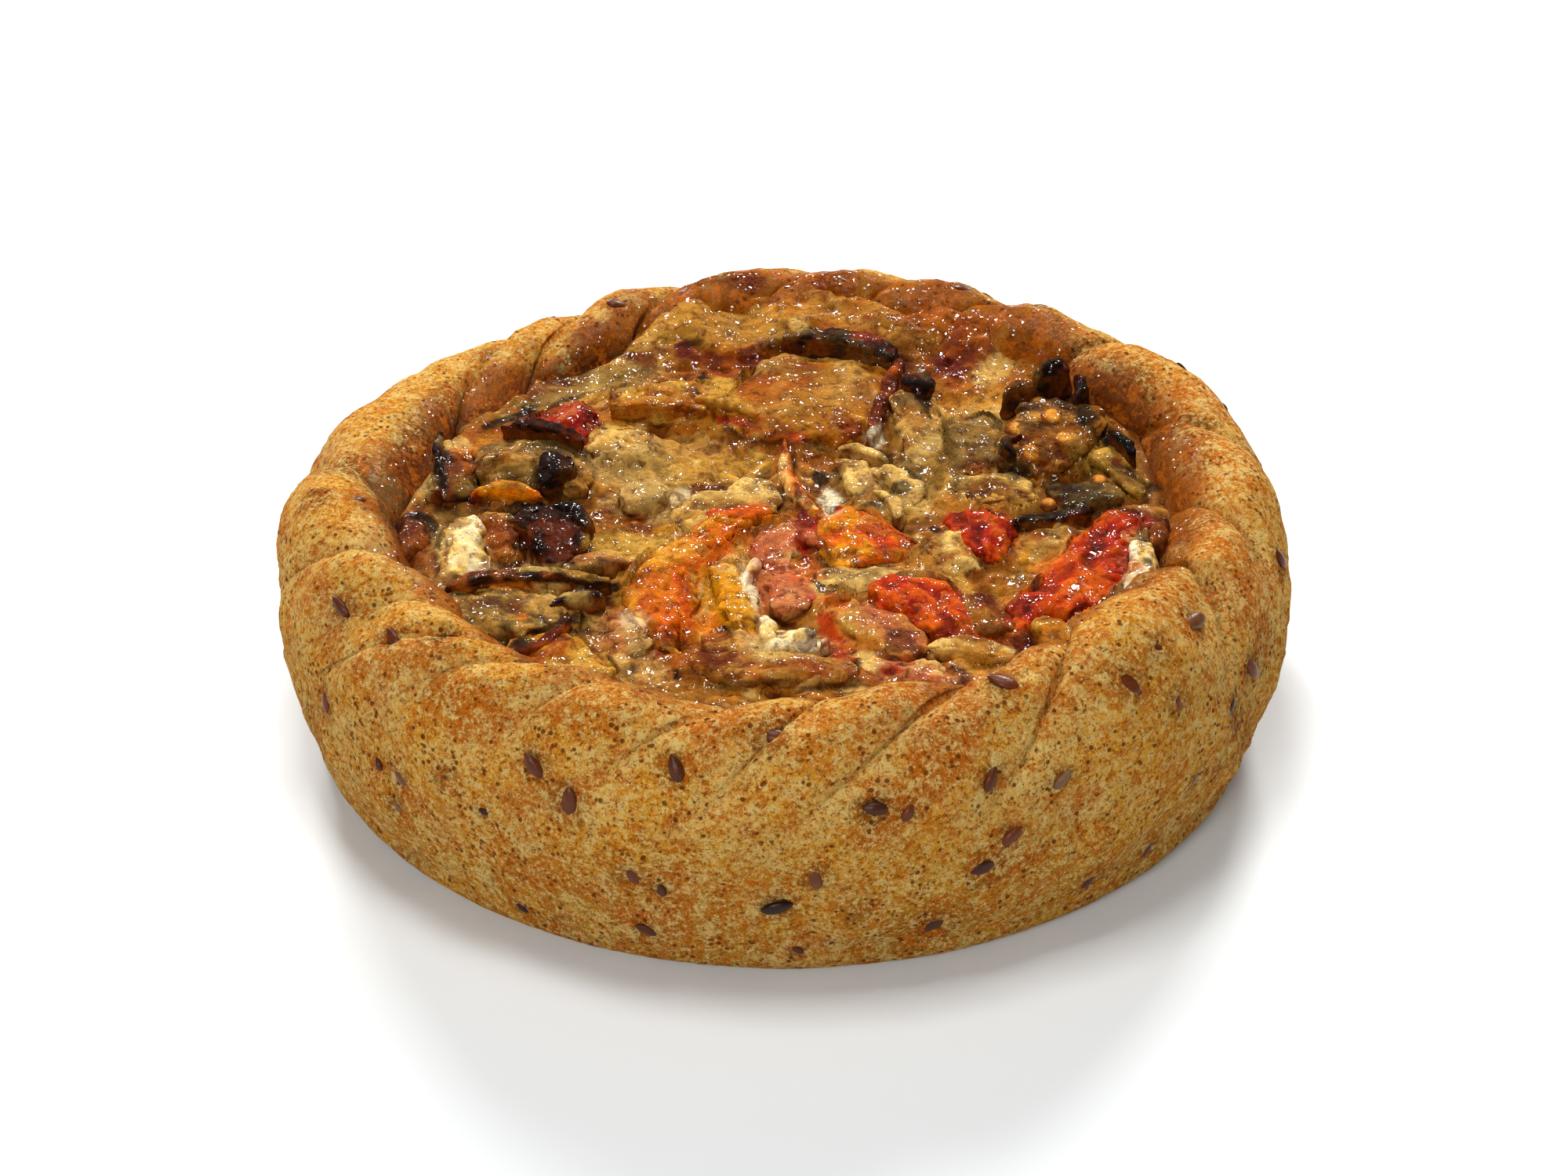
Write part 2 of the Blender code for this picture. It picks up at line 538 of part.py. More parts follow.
def top_point(piece, x, y):
    """The point of a piece's top above a place in plan."""
    turn = math.radians(piece.turn)
    run = (x - piece.x) * math.cos(turn) + (y - piece.y) * math.sin(turn)
    aside = (y - piece.y) * math.cos(turn) - (x - piece.x) * math.sin(turn)
    along = 2.0 * run / piece.length
    edge = morsel_point(piece, along, 0.0) - morsel_point(piece, along, math.pi)
    share = max(-1.0, min(1.0, 2.0 * aside / edge.xy.length))
    return morsel_point(piece, along, math.acos(math.copysign(abs(share) ** (piece.square / 2.0), share)))


def add_round_seeds(thing, piece):
    discs = []
    for number, (x, y, turn) in enumerate(ROUND_SEEDS):
        spot = top_point(piece, x, y)
        slope_x = top_point(piece, x + 0.5, y) - spot
        slope_y = top_point(piece, x, y + 0.5) - spot
        normal = slope_x.cross(slope_y).normalized()
        direction = Vector((math.cos(math.radians(turn)), math.sin(math.radians(turn)), 0.0))
        discs.append(grain("disc_%d" % number, spot, normal, direction,
                           DISC_WIDTH * 1.15, DISC_WIDTH, DISC_HEIGHT))
    combine(thing, discs, 'UNION')


def boxes_meet(first, second, margin):
    for axis in range(3):
        low = max(min(v.co[axis] for v in first.data.vertices),
                  min(v.co[axis] for v in second.data.vertices))
        high = min(max(v.co[axis] for v in first.data.vertices),
                   max(v.co[axis] for v in second.data.vertices))
        if low > high + margin * MM:
            return False
    return True


def material_kind(name):
    """Which colour a piece has, by its name."""
    if name in ("crust", "filling"):
        return name
    words = (("skin", "skin"), ("side", "skin"), ("char", "skin"), ("ridge", "skin"), ("curl", "skin"),
             ("amber", "amber"), ("orange", "amber"), ("rind", "amber"), ("tomato", "tomato"),
             ("cheese", "cheese"), ("onion", "onion"), ("slab", "golden"), ("golden", "golden"),
             ("pale", "golden"), ("tan", "golden"))
    for word, kind in words:
        if word in name:
            return kind
    return "aubergine"


def paint(thing):
    colour, roughness = COLOURS[material_kind(thing.name)]
    material = bpy.data.materials.new(thing.name + "_material")
    material.use_nodes = True
    shader = material.node_tree.nodes["Principled BSDF"]
    shader.inputs["Base Color"].default_value = (*colour, 1.0)
    shader.inputs["Roughness"].default_value = roughness
    shader.inputs["Metallic"].default_value = 0.0
    thing.data.materials.clear()
    thing.data.materials.append(material)


def clear_scene():
    for thing in list(bpy.data.objects):
        bpy.data.objects.remove(thing)


def main():
    clear_scene()
    crust = make_crust()
    filling = make_filling()
    made = [crust, filling]
    for piece in MORSELS:
        thing = make_morsel(piece)
        near = [other for other in made if boxes_meet(thing, other, GAP)]
        combine(thing, [inflated(other, GAP) for other in near], 'DIFFERENCE')
        made.append(thing)
        if piece.name == "aubergine_seedy":
            seedy = (thing, piece)
    add_round_seeds(*seedy)
    add_linseeds(crust)
    for thing in made:
        thing.data.shade_smooth()
        paint(thing)


main()
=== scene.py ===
"""Looks of an open savoury tart: browned wholemeal crust, baked cheese, roast vegetable pieces.

Tables are in millimetres and degrees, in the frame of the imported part; meshes are made in metres.
"""
import math
from collections import namedtuple
from types import SimpleNamespace

import bpy
import numpy as np
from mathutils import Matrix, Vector, noise


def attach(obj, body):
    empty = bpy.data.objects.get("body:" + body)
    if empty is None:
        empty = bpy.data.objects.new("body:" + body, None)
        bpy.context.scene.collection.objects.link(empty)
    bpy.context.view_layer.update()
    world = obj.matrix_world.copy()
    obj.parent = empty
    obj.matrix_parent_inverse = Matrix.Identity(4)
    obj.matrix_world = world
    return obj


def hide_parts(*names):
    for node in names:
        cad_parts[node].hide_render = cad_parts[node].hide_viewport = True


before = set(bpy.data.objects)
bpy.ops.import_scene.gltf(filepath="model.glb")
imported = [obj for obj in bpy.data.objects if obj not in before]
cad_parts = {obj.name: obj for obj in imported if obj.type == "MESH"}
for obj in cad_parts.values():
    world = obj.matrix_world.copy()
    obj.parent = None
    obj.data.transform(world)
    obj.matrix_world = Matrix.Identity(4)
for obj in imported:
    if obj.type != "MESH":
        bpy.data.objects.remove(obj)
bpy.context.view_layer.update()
MM = 0.001


def table(text):
    """Rows of words and numbers, one to a line or parted by semicolons, with headings left out."""
    rows = []
    for line in text.splitlines():
        if line.strip().startswith("#"):
            continue
        for row in line.split(";"):
            cells = tuple(cell if cell[0].isalpha() else float(cell) for cell in row.split())
            if cells:
                rows.append(cells)
    return rows


# Crust form, as in the solids
FLAT_RADIUS = 66.0
CORNER_RADIUS = 5.0
RIM_RADIUS = 75.0
WALL_TOP = 26.0
RIM_TOP = 40.0
ROLL_RADIUS = 64.3
LIP_RADIUS = 55.3
WALL_BULGE = 1.2
LUMP_SIZE = 0.8
CREASE_SHARPNESS = 0.6
# Sections run from 0 at the foot of the wall by 1 at its top and 2 on the crest to 3 at the inner lip
CREST = 2.0
LIP = 3.0

# Folds of the rim: azimuth of the crease, slant, depth, lift, place of the ridge, share of crease closed
FOLDS = table("""
    -184 12 2.6 -.6 .5 .3; -160 8 3.6 .6 .5 .2; -145 11 1.6 -.6 .5 .4; -135 17 2.2 0 .5 .2
    -127 14 2.2 .2 .5 .6; -115 13 1.8 -.3 .5 .5; -100 14 2 0 .5 .4; -88 12 2.4 .3 .5 .2
    -71 20 2.8 .4 .5 0; -54 14 4.6 1.6 .32 .1; -25.5 9 2.6 0 .5 0; -10 11 3 .2 .5 0; 13 14 3.6 .6 .6 0
    41 4 1.8 0 .5 .1; 60 10 2 -.2 .5 .3; 74 10 1.8 -.4 .5 .3; 89 12 2.2 -1 .5 .2; 108 13 3.2 -2.6 .4 .1
    124 18 2.8 -4.8 .5 .1; 137 26 3 -4.2 .5 .1
""")

# Filling form, as in the solids
FILL_LEVEL = 33.2
EDGE_CLIMB = 1.4
BACK_CLIMB = 4.6
CLIMB_RADII = (42.0, 58.0)
EDGE_SECTION = 2.6
BACK_SECTION = 2.2
FILL_LUMP = 1.2
FILL_LUMP_SCALE = 0.11
FILL_SEED = 3.0

# Pieces of vegetable and cheese, as in the solids
MORSEL_SEED = 11
MORSEL_LUMP = 0.45
MORSEL_LUMP_SCALE = 0.35
Piece = namedtuple("Piece", "x y top length width depth turn taper bend rise power look")


def pieces(text):
    return {row[0]: Piece(*row[1:]) for row in table(text)}


# Name, x, y, top, length, width, depth, turn, taper, bend, rise, squareness, look
MORSELS = pieces("""
    aubergine_slab 4 31 36.6 24 26.5 8 -14 0 0 0 4 slab
    aubergine_slab_skin 9.3 45.4 38.6 19.5 5.4 5 -21 0 .6 0 3 skin
    aubergine_slab_side 15.6 29.4 37.4 26 2.2 7 -103 0 0 -1.5 3 rust
    aubergine_fold_back -17.5 32 36 18 10.5 6 -10 0 1 0 3 golden
    aubergine_stub 20.6 20.8 37.2 21 7.2 8 97 -.1 0 2.8 2.6 tan
    aubergine_flesh 29.2 19 35.6 15.5 8.6 6 90 0 0 1 2.6 grey
    aubergine_seedy 40.4 17.2 38 20.5 13.6 9 62 .1 0 3.4 2.6 seedy
    aubergine_stem 49.8 9 36 17 4.6 6 -66 0 0 0 2.2 olive
    aubergine_fibrous 31.6 3.4 36 11 9.6 6 4 0 0 0 2.8 fibrous
    aubergine_grey 44.4 1.2 36.2 9.6 8.2 6 10 0 0 0 2.4 dusk
    aubergine_curl 39.4 -5.8 36.6 11.5 2.4 5 16 0 -.8 .6 2 skin
    aubergine_tan 39.6 -10.2 35.4 10 4.8 5 4 0 0 0 2.4 tan
    tomato_right 42.6 -21.4 37.2 36 12 8 58 .12 -1.5 .8 2.4 tomato
    tomato_small 29 -10.2 36.2 15 8.4 6 100 .45 0 .6 2.2 tomato
    tomato_orange 10.6 -10.4 36.4 16.5 13.5 6.5 112 -.4 0 .6 2.3 orange
    tomato_glossy 22 -31 36.6 22.5 11.8 7 -51 0 0 0 2.5 tomato
    tomato_flap 13 -35 35.8 18 7.4 6 -54 -.15 .5 0 2.4 flap
    tomato_amber_long -12.5 -22 36.2 40 7.6 6.5 69 -.35 5 .4 2.2 amber
    tomato_amber_short -6.6 -26.8 35.9 19 6 6 -82 -.3 0 0 2.2 gold
    tomato_front 17.8 -46.6 35.2 15.5 5 5.5 -18 0 .4 0 2.3 pink
    tomato_back -33.4 23.2 36.4 15 12.4 7 72 -.4 0 1.2 2.2 rose
    tomato_strip 2.2 6.4 35.8 25.5 2.5 4.5 -75 .1 -1.2 -.2 2 peach
    tomato_dark -54 -10 36.2 11 4.8 6 93 0 0 .4 2.2 plum
    onion_clear 11.2 -21.3 35.2 14 5.2 4.5 -3 -.25 0 0 2.6 clear
    onion_tan 23.8 -14.6 35.9 13 7 6 -64 0 0 -.4 2.4 tan
    onion_wedge_left 11.4 6.2 35.6 14 4.4 5 -68 0 .6 0 2.3 onion
    onion_wedge_right 17.2 5.6 35.8 13 4.6 5.5 -60 0 .8 0 2.3 onion
    onion_dark_right 53.8 -13.2 38.4 9.5 3.4 7 84 0 0 .4 2.2 plum
    onion_cream_right 50.6 -22.4 38 13 4 7 78 0 -.4 .4 2.2 cream
    onion_cream_left -46.2 -14 36.2 17 6.8 6.5 -84 .15 0 -.8 2.4 cream
    aubergine_skin_front -35.4 -40.4 36.6 18 2 6 43 0 -2.2 .4 2 rust
    onion_amber -30.6 -44.6 36.2 17.5 10.4 7 -48 0 .6 0 2.4 layers
    aubergine_slice -37.4 9 37.2 16.5 14 8 2 0 0 0 2.8 green
    aubergine_char -34.2 4.8 39.2 9 4.4 6 84 0 -.8 0 2.2 char
    aubergine_rind -40.6 -.8 38 10.6 2.8 6 -4 0 1.2 0 2 ember
    aubergine_skin_left -34 -10.4 36.6 15.5 9 7 -70 -.1 0 -1.4 2.4 darkskin
    aubergine_amber -41.6 -9.6 35.8 12.5 5.6 6 -76 0 0 -.6 2.4 brown
    aubergine_tip -49.4 5.2 38 15 5.8 8 99 -.45 0 1.2 2.2 burnt
    aubergine_slice_front -37.6 -32.9 37 20 11.4 8 -7 -.25 0 0 2.8 green
    aubergine_ridge_front -36.2 -26 38 23.5 3 7 4 .15 .6 .5 2.2 burnt
    aubergine_roll -1.6 -46.6 36.4 23.5 6.4 7 -5 0 -1 0 2.2 brown
    aubergine_tan_slice -8.6 -1.8 35.5 18.5 9.6 5 36 0 0 0 2.8 pale
    aubergine_pale -24.4 17.4 35.4 10.5 8.6 5 -5 0 0 0 3 pale
    aubergine_lump -9.2 -40.4 35.8 8 4.4 5.5 84 0 0 0 2.2 brown
    onion_mauve -21.8 -36 35.4 10 6 5 -72 0 0 0 2.4 mauve
    cheese_curd 0 -38.8 35.6 7 3.8 5 35 0 0 0 2.2 curd
""")

# Small parts that only the looks have
EXTRAS = pieces("""
    peak_left 36.4 27.8 39.6 7 2.8 6 28 .2 .5 .6 2 char
    peak_middle 41.6 31 41.2 7.5 3 7 40 .3 .4 1 2 char
    peak_right 45.6 26.6 40.6 7.5 2.6 7 82 -.2 -.5 .8 2 char
    peak_front 34.6 12.4 38.6 7 2.6 5 78 .2 .6 .4 2 char
    stub_burn 20.6 29.6 39.4 5.4 4.6 4 88 .2 0 1 2.2 char
    stem_burn 51.4 12.6 38.4 7.5 2 4 -62 .2 .3 0 2 char
    fold_strip -8.4 26.4 37.4 11 2 3.4 -28 .1 .5 0 2 golden
    fold_strip_low -19 27.2 36.8 15 2.4 3.4 -4 .1 .6 0 2 golden
    slice_rim -36 15.6 38.8 13 2.6 4.6 -20 .1 .8 0 2 darkskin
    slice_band -41 6.6 39 8 1.8 3 4 0 .5 0 2 tan
    tip_edge -51 8.2 39.2 13 1.9 5 96 0 .5 1.2 2 char
    left_flap -30.4 -6.4 37.2 9 3.4 4.4 -52 .1 .6 0 2.2 char
    ridge_tip -27.2 -23.2 38.4 8 2.6 4 8 -.3 .2 .3 2 char
    ridge_step -37.6 -24.6 37.6 15 1.6 3.4 3 0 .3 0 2 rust
    front_skin -29.4 -30.8 37.4 8 2 4 22 .1 .4 .2 2 burnt
    mauve_strip -25 -16.6 35.6 12 2.6 3.4 6 .1 .4 0 2.2 mauve
    cream_streak -4.6 -22.6 36.4 10 1.8 3.4 82 .1 .4 0 2 curd
    cream_curl -2.6 -36 36.2 8.5 2.2 3.6 -80 .1 .6 0 2 cream
    curd_drop 3.4 -38.6 36.2 3.6 3 3.4 20 0 0 0 2 curd
    curd_bead 5.8 -40 35.8 2.4 2 2.6 60 0 0 0 2 curd
    orange_slip -8.6 -7.4 36 15 5 4 40 .2 .6 0 2.2 orange
    orange_leaf -16.4 -26.4 36 17 6 4 -78 .2 .6 0 2.2 orange
    pink_pool -.6 -13.6 35.4 13 6.6 3.4 86 .1 .4 0 2.4 pink
    pink_pool_low 1.2 -24.6 35.6 12 6.4 3.4 -84 .1 .4 0 2.4 pink
    tan_flap 26 -42 36 12 5.4 4 -14 .1 .4 0 2.6 tan
    brown_lobe 28 -33.4 36.6 10 5.6 4.4 -76 .1 .2 0 2.4 brown
    seed_pod 37.4 -39.6 37 11 4.6 4.6 -82 .1 .3 0 2.4 golden
    onion_ring 12.2 13.2 36.2 9 1.8 3 -30 0 .8 0 2 onion
    onion_shred 15.8 -1.6 36 9 1.8 3 -70 0 .8 0 2 onion
    tomato_shard 3.4 -8.6 36 11 3.6 3.6 100 .2 .3 0 2.2 rose
    translucent -20.4 3.2 35.6 7.4 7 3.4 20 0 0 0 2.8 clear
""")

# Seeds in the crust: azimuth, section, lean to the left, length, tone from pale grey to near black
LINSEEDS = table("""
    -50.4 1.55 30 5.2 .5; -44.8 1.65 45 4.4 .5; -44.1 1.3 5 4.4 .5; -63.7 1.9 45 4.8 .45
    -36 1.65 85 4.6 .3; -68.1 1.25 -30 3.8 .6; -80.7 1.2 80 3.8 .8; -65.8 .8 -50 4.2 .4
    -68.5 .62 -82 5 .8; -86.7 .7 10 4 .35; -90.6 .45 -75 4.6 .95; -73.6 .15 -50 4.8 .8
    -54.5 .2 -40 4.4 .75; -44.9 .15 -25 4 .5; -39.9 .6 -25 4.2 .6; -29.2 .1 -30 4 .85
    -33.6 .95 -20 4.2 .75; -28.3 1.1 30 4.4 .4; -91.2 1.75 75 4.6 .5; -101.2 1.45 20 4.2 .7
    -116.8 1.3 40 4.2 .6; -112.5 1.1 5 5 .55; -127.3 1 80 3.8 .6; -134.5 .8 50 4 .3; -105.7 .65 25 4.2 .5
    -104.6 .15 60 4.6 .7; -148.5 .95 15 4 .4; -11.3 1.35 20 4.4 .5; -172.4 1.8 80 4.4 .6
    -140.6 1.7 60 4.2 .5; -32.2 .78 -38 3.6 .7; -77.3 1.15 -30 3 .45; -84.6 .1 -40 2.8 .6
    -88.5 .03 45 2.8 .6; -102.6 .55 5 2.6 .7; -135.7 .55 50 3.2 .2; -122.9 .85 80 2.2 .9
    -138 .8 30 2.2 .7; -120.3 .05 60 3 .9; -172 2.15 40 3.6 .6; 173.3 2 80 3.4 .5; -150.9 1.6 70 4.2 .6
    134.8 1.9 50 4.2 .4; 115 2.1 70 4 .5; 64.3 1.9 70 4.4 .6; 81 2.1 80 4 .6; -24 .4 -20 3.4 .5
    -60 1.1 -40 3.6 .15
""")
FAR_SEEDS = 26

# Colours by name, as red, green and blue of 255
INK = {row[0]: row[1:] for row in table("""
    crust 248 174 56; floury 255 218 130; toast 216 112 18; brown 150 76 15; burnt 44 21 7
    wallshade 206 144 44; char 18 11 8; deep 68 15 2; cheese 175 112 26; honey 164 86 7; caramel 152 66 4
    blister 93 20 2; cream 232 192 110; white 250 240 206; butter 206 158 62; olive 134 96 30
    grey 130 98 46; dusk 74 55 24; green 130 98 44; tan 182 130 56; pale 200 150 72; golden 169 103 13
    rust 99 36 4; skin 27 12 9; darkskin 40 18 10; tomato 188 52 0; scarlet 151 18 0; orange 208 90 3
    amber 208 109 2; gold 213 140 6; pink 188 100 60; rose 164 40 9; flap 190 118 52; peach 201 104 30
    plum 72 25 8; clear 182 146 82; onion 192 150 78; mauve 194 124 66; ember 182 65 1; black 6 3 2
    seedy 141 84 14; fibrous 186 138 58; layers 179 116 17; curd 255 236 186; linseed 104 48 16
    paleseed 122 98 68; darkseed 30 17 12; disc 210 140 44
""")}


def ink(name):
    """A colour of the table as linear red, green and blue."""
    share = np.array(INK[name]) / 255.0
    return np.where(share <= 0.04045, share / 12.92, ((share + 0.055) / 1.055) ** 2.4)


def dye(tint, name, share):
    """A tint with a share of a named colour laid over it at each point."""
    share = np.clip(share, 0.0, 1.0)[:, None]
    return tint * (1.0 - share) + ink(name) * share


# Random fields
def lattice(cell, seed):
    """A repeatable number from 0 to 1 for each cell of space."""
    mixed = cell[..., 0] * 374761393 + cell[..., 1] * 668265263 + cell[..., 2] * 974634777 + seed * 127412617
    mixed = mixed & 0xFFFFFFFF
    mixed = ((mixed ^ (mixed >> 13)) * 1274126177) & 0xFFFFFFFF
    return ((mixed ^ (mixed >> 16)) & 0xFFFFFF) / 16777215.0


def field(points, scale, seed):
    """Smooth random values from -1 to 1, with features about as wide as the scale."""
    place = points / scale
    cell = np.floor(place).astype(np.int64)
    part = place - cell
    part = part * part * (3.0 - 2.0 * part)
    total = np.zeros(len(points))
    for corner in np.ndindex(2, 2, 2):
        step = np.array(corner)
        weight = np.prod(np.where(step == 1, part, 1.0 - part), axis=-1)
        total += weight * lattice(cell + step, seed)
    return 2.0 * total - 1.0


def rough(points, scale, seed, octaves=4):
    """Several sizes of random field added together."""
    total = np.zeros(len(points))
    size = 1.0
    for octave in range(octaves):
        total += size * field(points + 31.7 * octave, scale * size, seed + octave)
        size *= 0.5
    return total


def ridged(points, scale, seed, octaves=3):
    """Sharp ridges: 1 on them and falling to 0."""
    total = np.zeros(len(points))
    size = 1.0
    for octave in range(octaves):
        total += size * (1.0 - np.abs(field(points + 17.3 * octave, scale * size, seed + octave)))
        size *= 0.5
    return total / 1.75


def cells(points, scale, seed):
    """Distance to the nearest and next scattered point, in cells, and the nearest one's own number."""
    place = points / scale
    base = np.floor(place).astype(np.int64)
    best = np.full(len(points), 9.0)
    after = np.full(len(points), 9.0)
    own = np.zeros(len(points))
    for corner in np.ndindex(3, 3, 3):
        cell = base + np.array(corner) - 1
        spot = cell + np.stack([lattice(cell, seed + axis) for axis in range(3)], axis=-1)
        gap = np.linalg.norm(place - spot, axis=-1)
        nearer = gap < best
        after = np.where(nearer, best, np.minimum(after, gap))
        own = np.where(nearer, lattice(cell, seed + 7), own)
        best = np.minimum(best, gap)
    return best, after, own


def step_up(low, high, value):
    """0 below low and 1 above high, eased between them, for arrays."""
    share = np.clip((value - low) / (high - low), 0.0, 1.0)
    return share * share * (3.0 - 2.0 * share)


# Form functions
def smooth(low, high, value):
    """The same as step_up for one number, where it is quicker."""
    share = min(1.0, max(0.0, (value - low) / (high - low)))
    return share * share * (3.0 - 2.0 * share)


def blend(a, b, share):
    return a + (b - a) * share


def crease_azimuth(number, section):
    turns, row = divmod(number, len(FOLDS))
    crease, slant = FOLDS[row][:2]
    along = min(LIP, max(1.0, section)) - CREST
    return crease + slant * along + 360.0 * turns


def fold_at(azimuth, section):
    first = crease_azimuth(0, section)
    azimuth = first + (azimuth - first) % 360.0
    number = 0
    while crease_azimuth(number + 1, section) <= azimuth:
        number += 1
    low = crease_azimuth(number, section)
    high = crease_azimuth(number + 1, section)
    return number % len(FOLDS), (azimuth - low) / (high - low)


def section_point(section):
    if section <= 1.0:
        low_radius = FLAT_RADIUS + CORNER_RADIUS
        radius = blend(low_radius, RIM_RADIUS, section) + WALL_BULGE * math.sin(math.pi * section)
        return radius, blend(CORNER_RADIUS, WALL_TOP, section)
    angle = math.pi * (section - 1.0) / 2.0
    reach = RIM_RADIUS - ROLL_RADIUS if section < CREST else ROLL_RADIUS - LIP_RADIUS
    return ROLL_RADIUS + reach * math.cos(angle), WALL_TOP + (RIM_TOP - WALL_TOP) * math.sin(angle)


def relief_share(section):
    return smooth(0.85, 1.85, section) * blend(1.0, 0.65, smooth(2.3, LIP, section))


def fold_lift(number, across, section):
    before, here, after = (FOLDS[(number + step) % len(FOLDS)][3] for step in (-1, 0, 1))
    if across < 0.5:
        return blend(before, here, smooth(-0.5, 0.5, across)) * smooth(0.0, CREST, section)
    return blend(here, after, smooth(0.5, 1.5, across)) * smooth(0.0, CREST, section)


def crust_point(azimuth, section, clear=0.0):
    """A point of the crust's outer face or roll, or one held clear of it, in millimetres."""
    radius, height = section_point(section)
    ahead_radius, ahead_height = section_point(section + 0.01)
    run, climb = ahead_radius - radius, ahead_height - height
    length = math.hypot(run, climb)
    turn = math.radians(azimuth)
    lump = noise.noise(Vector((2.2 * math.cos(turn), 2.2 * math.sin(turn), 0.05 * height)))
    number, across = fold_at(azimuth, section)
    ridge = FOLDS[number][4]
    rise = max(0.0, math.sin(math.pi * across ** (math.log(0.5) / math.log(ridge)))) ** CREASE_SHARPNESS
    relief = FOLDS[number][2] * (rise - 0.5) * relief_share(section) + LUMP_SIZE * lump + clear
    radius += relief * climb / length
    height += relief * -run / length + fold_lift(number, across, section)
    return Vector((radius * math.cos(turn), radius * math.sin(turn), height))


def back_share(azimuth):
    return smooth(38.0, 52.0, azimuth) * (1.0 - smooth(104.0, 120.0, azimuth))


def fill_height(radius, azimuth):
    """Top of the baked cheese before its own small relief."""
    climb = smooth(*CLIMB_RADII, radius) * blend(EDGE_CLIMB, BACK_CLIMB, back_share(azimuth))
    turn = math.radians(azimuth)
    place = Vector((radius * math.cos(turn), radius * math.sin(turn), 0.0)) * FILL_LUMP_SCALE
    return FILL_LEVEL + climb + FILL_LUMP * noise.noise(place + Vector((0.0, 0.0, FILL_SEED)))


def morsel_point(row, along, angle):
    """A point of a piece: along from -1 to 1, and an angle round its section."""
    x, y, top, length, width, depth, turn, taper, bend, rise, power = row[:11]
    half = 0.5 * width * (1.0 - abs(along) ** power) ** (1.0 / power) * (1.0 + taper * along)
    tall = 0.5 * depth * (1.0 - 0.5 * abs(along) ** 3.0)
    flat = 2.0 / power
    cosine, sine = math.cos(angle), math.sin(angle)
    across = half * math.copysign(abs(cosine) ** flat, cosine) + bend * (1.0 - 2.0 * along * along)
    up = tall * math.copysign(abs(sine) ** flat, sine) + 0.5 * rise * along
    turn = math.radians(turn)
    run = 0.5 * length * along
    px = x + run * math.cos(turn) - across * math.sin(turn)
    py = y + run * math.sin(turn) + across * math.cos(turn)
    place = Vector((px, py, up)) * MORSEL_LUMP_SCALE + Vector((0.0, 0.0, MORSEL_SEED))
    return Vector((px, py, top - 0.5 * depth + up + MORSEL_LUMP * noise.noise(place)))


# Meshes
def grid_normals(grid):
    """Unit normals of a grid of points that wraps round in its second direction."""
    along = np.roll(grid, -1, axis=1) - np.roll(grid, 1, axis=1)
    up = np.gradient(grid, axis=0)
    normal = np.cross(along, up)
    return normal / (np.linalg.norm(normal, axis=-1, keepdims=True) + 1e-9)


def grid_faces(rows, columns):
    row, column = np.meshgrid(np.arange(rows - 1), np.arange(columns), indexing="ij")
    after = (column + 1) % columns
    here = row * columns
    return np.stack([here + column, here + after, here + columns + after, here + columns + column],
                    axis=-1).reshape(-1, 4)


def stand(name, data):
    """A new object in the scene."""
    thing = bpy.data.objects.new(name, data)
    bpy.context.scene.collection.objects.link(thing)
    return thing


def build_piece(name, points, faces, tint, wet, material, caps=()):
    """A smooth-shaded mesh with its tint and wetness, riding on the part's one body."""
    mesh = bpy.data.meshes.new(name)
    mesh.from_pydata((points * MM).tolist(), [], faces.tolist() + list(caps))
    mesh.update()
    colour = mesh.attributes.new("tint", 'FLOAT_COLOR', 'POINT')
    packed = np.ones((len(points), 4), np.float32)
    packed[:, :3] = np.clip(tint, 0.0, 1.0)
    colour.data.foreach_set("color", packed.ravel())
    gloss = mesh.attributes.new("wet", 'FLOAT', 'POINT')
    gloss.data.foreach_set("value", np.clip(wet, 0.0, 1.0).astype(np.float32))
    mesh.shade_smooth()
    piece = stand(name, mesh)
    mesh.materials.append(material)
    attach(piece, "root")
    return piece


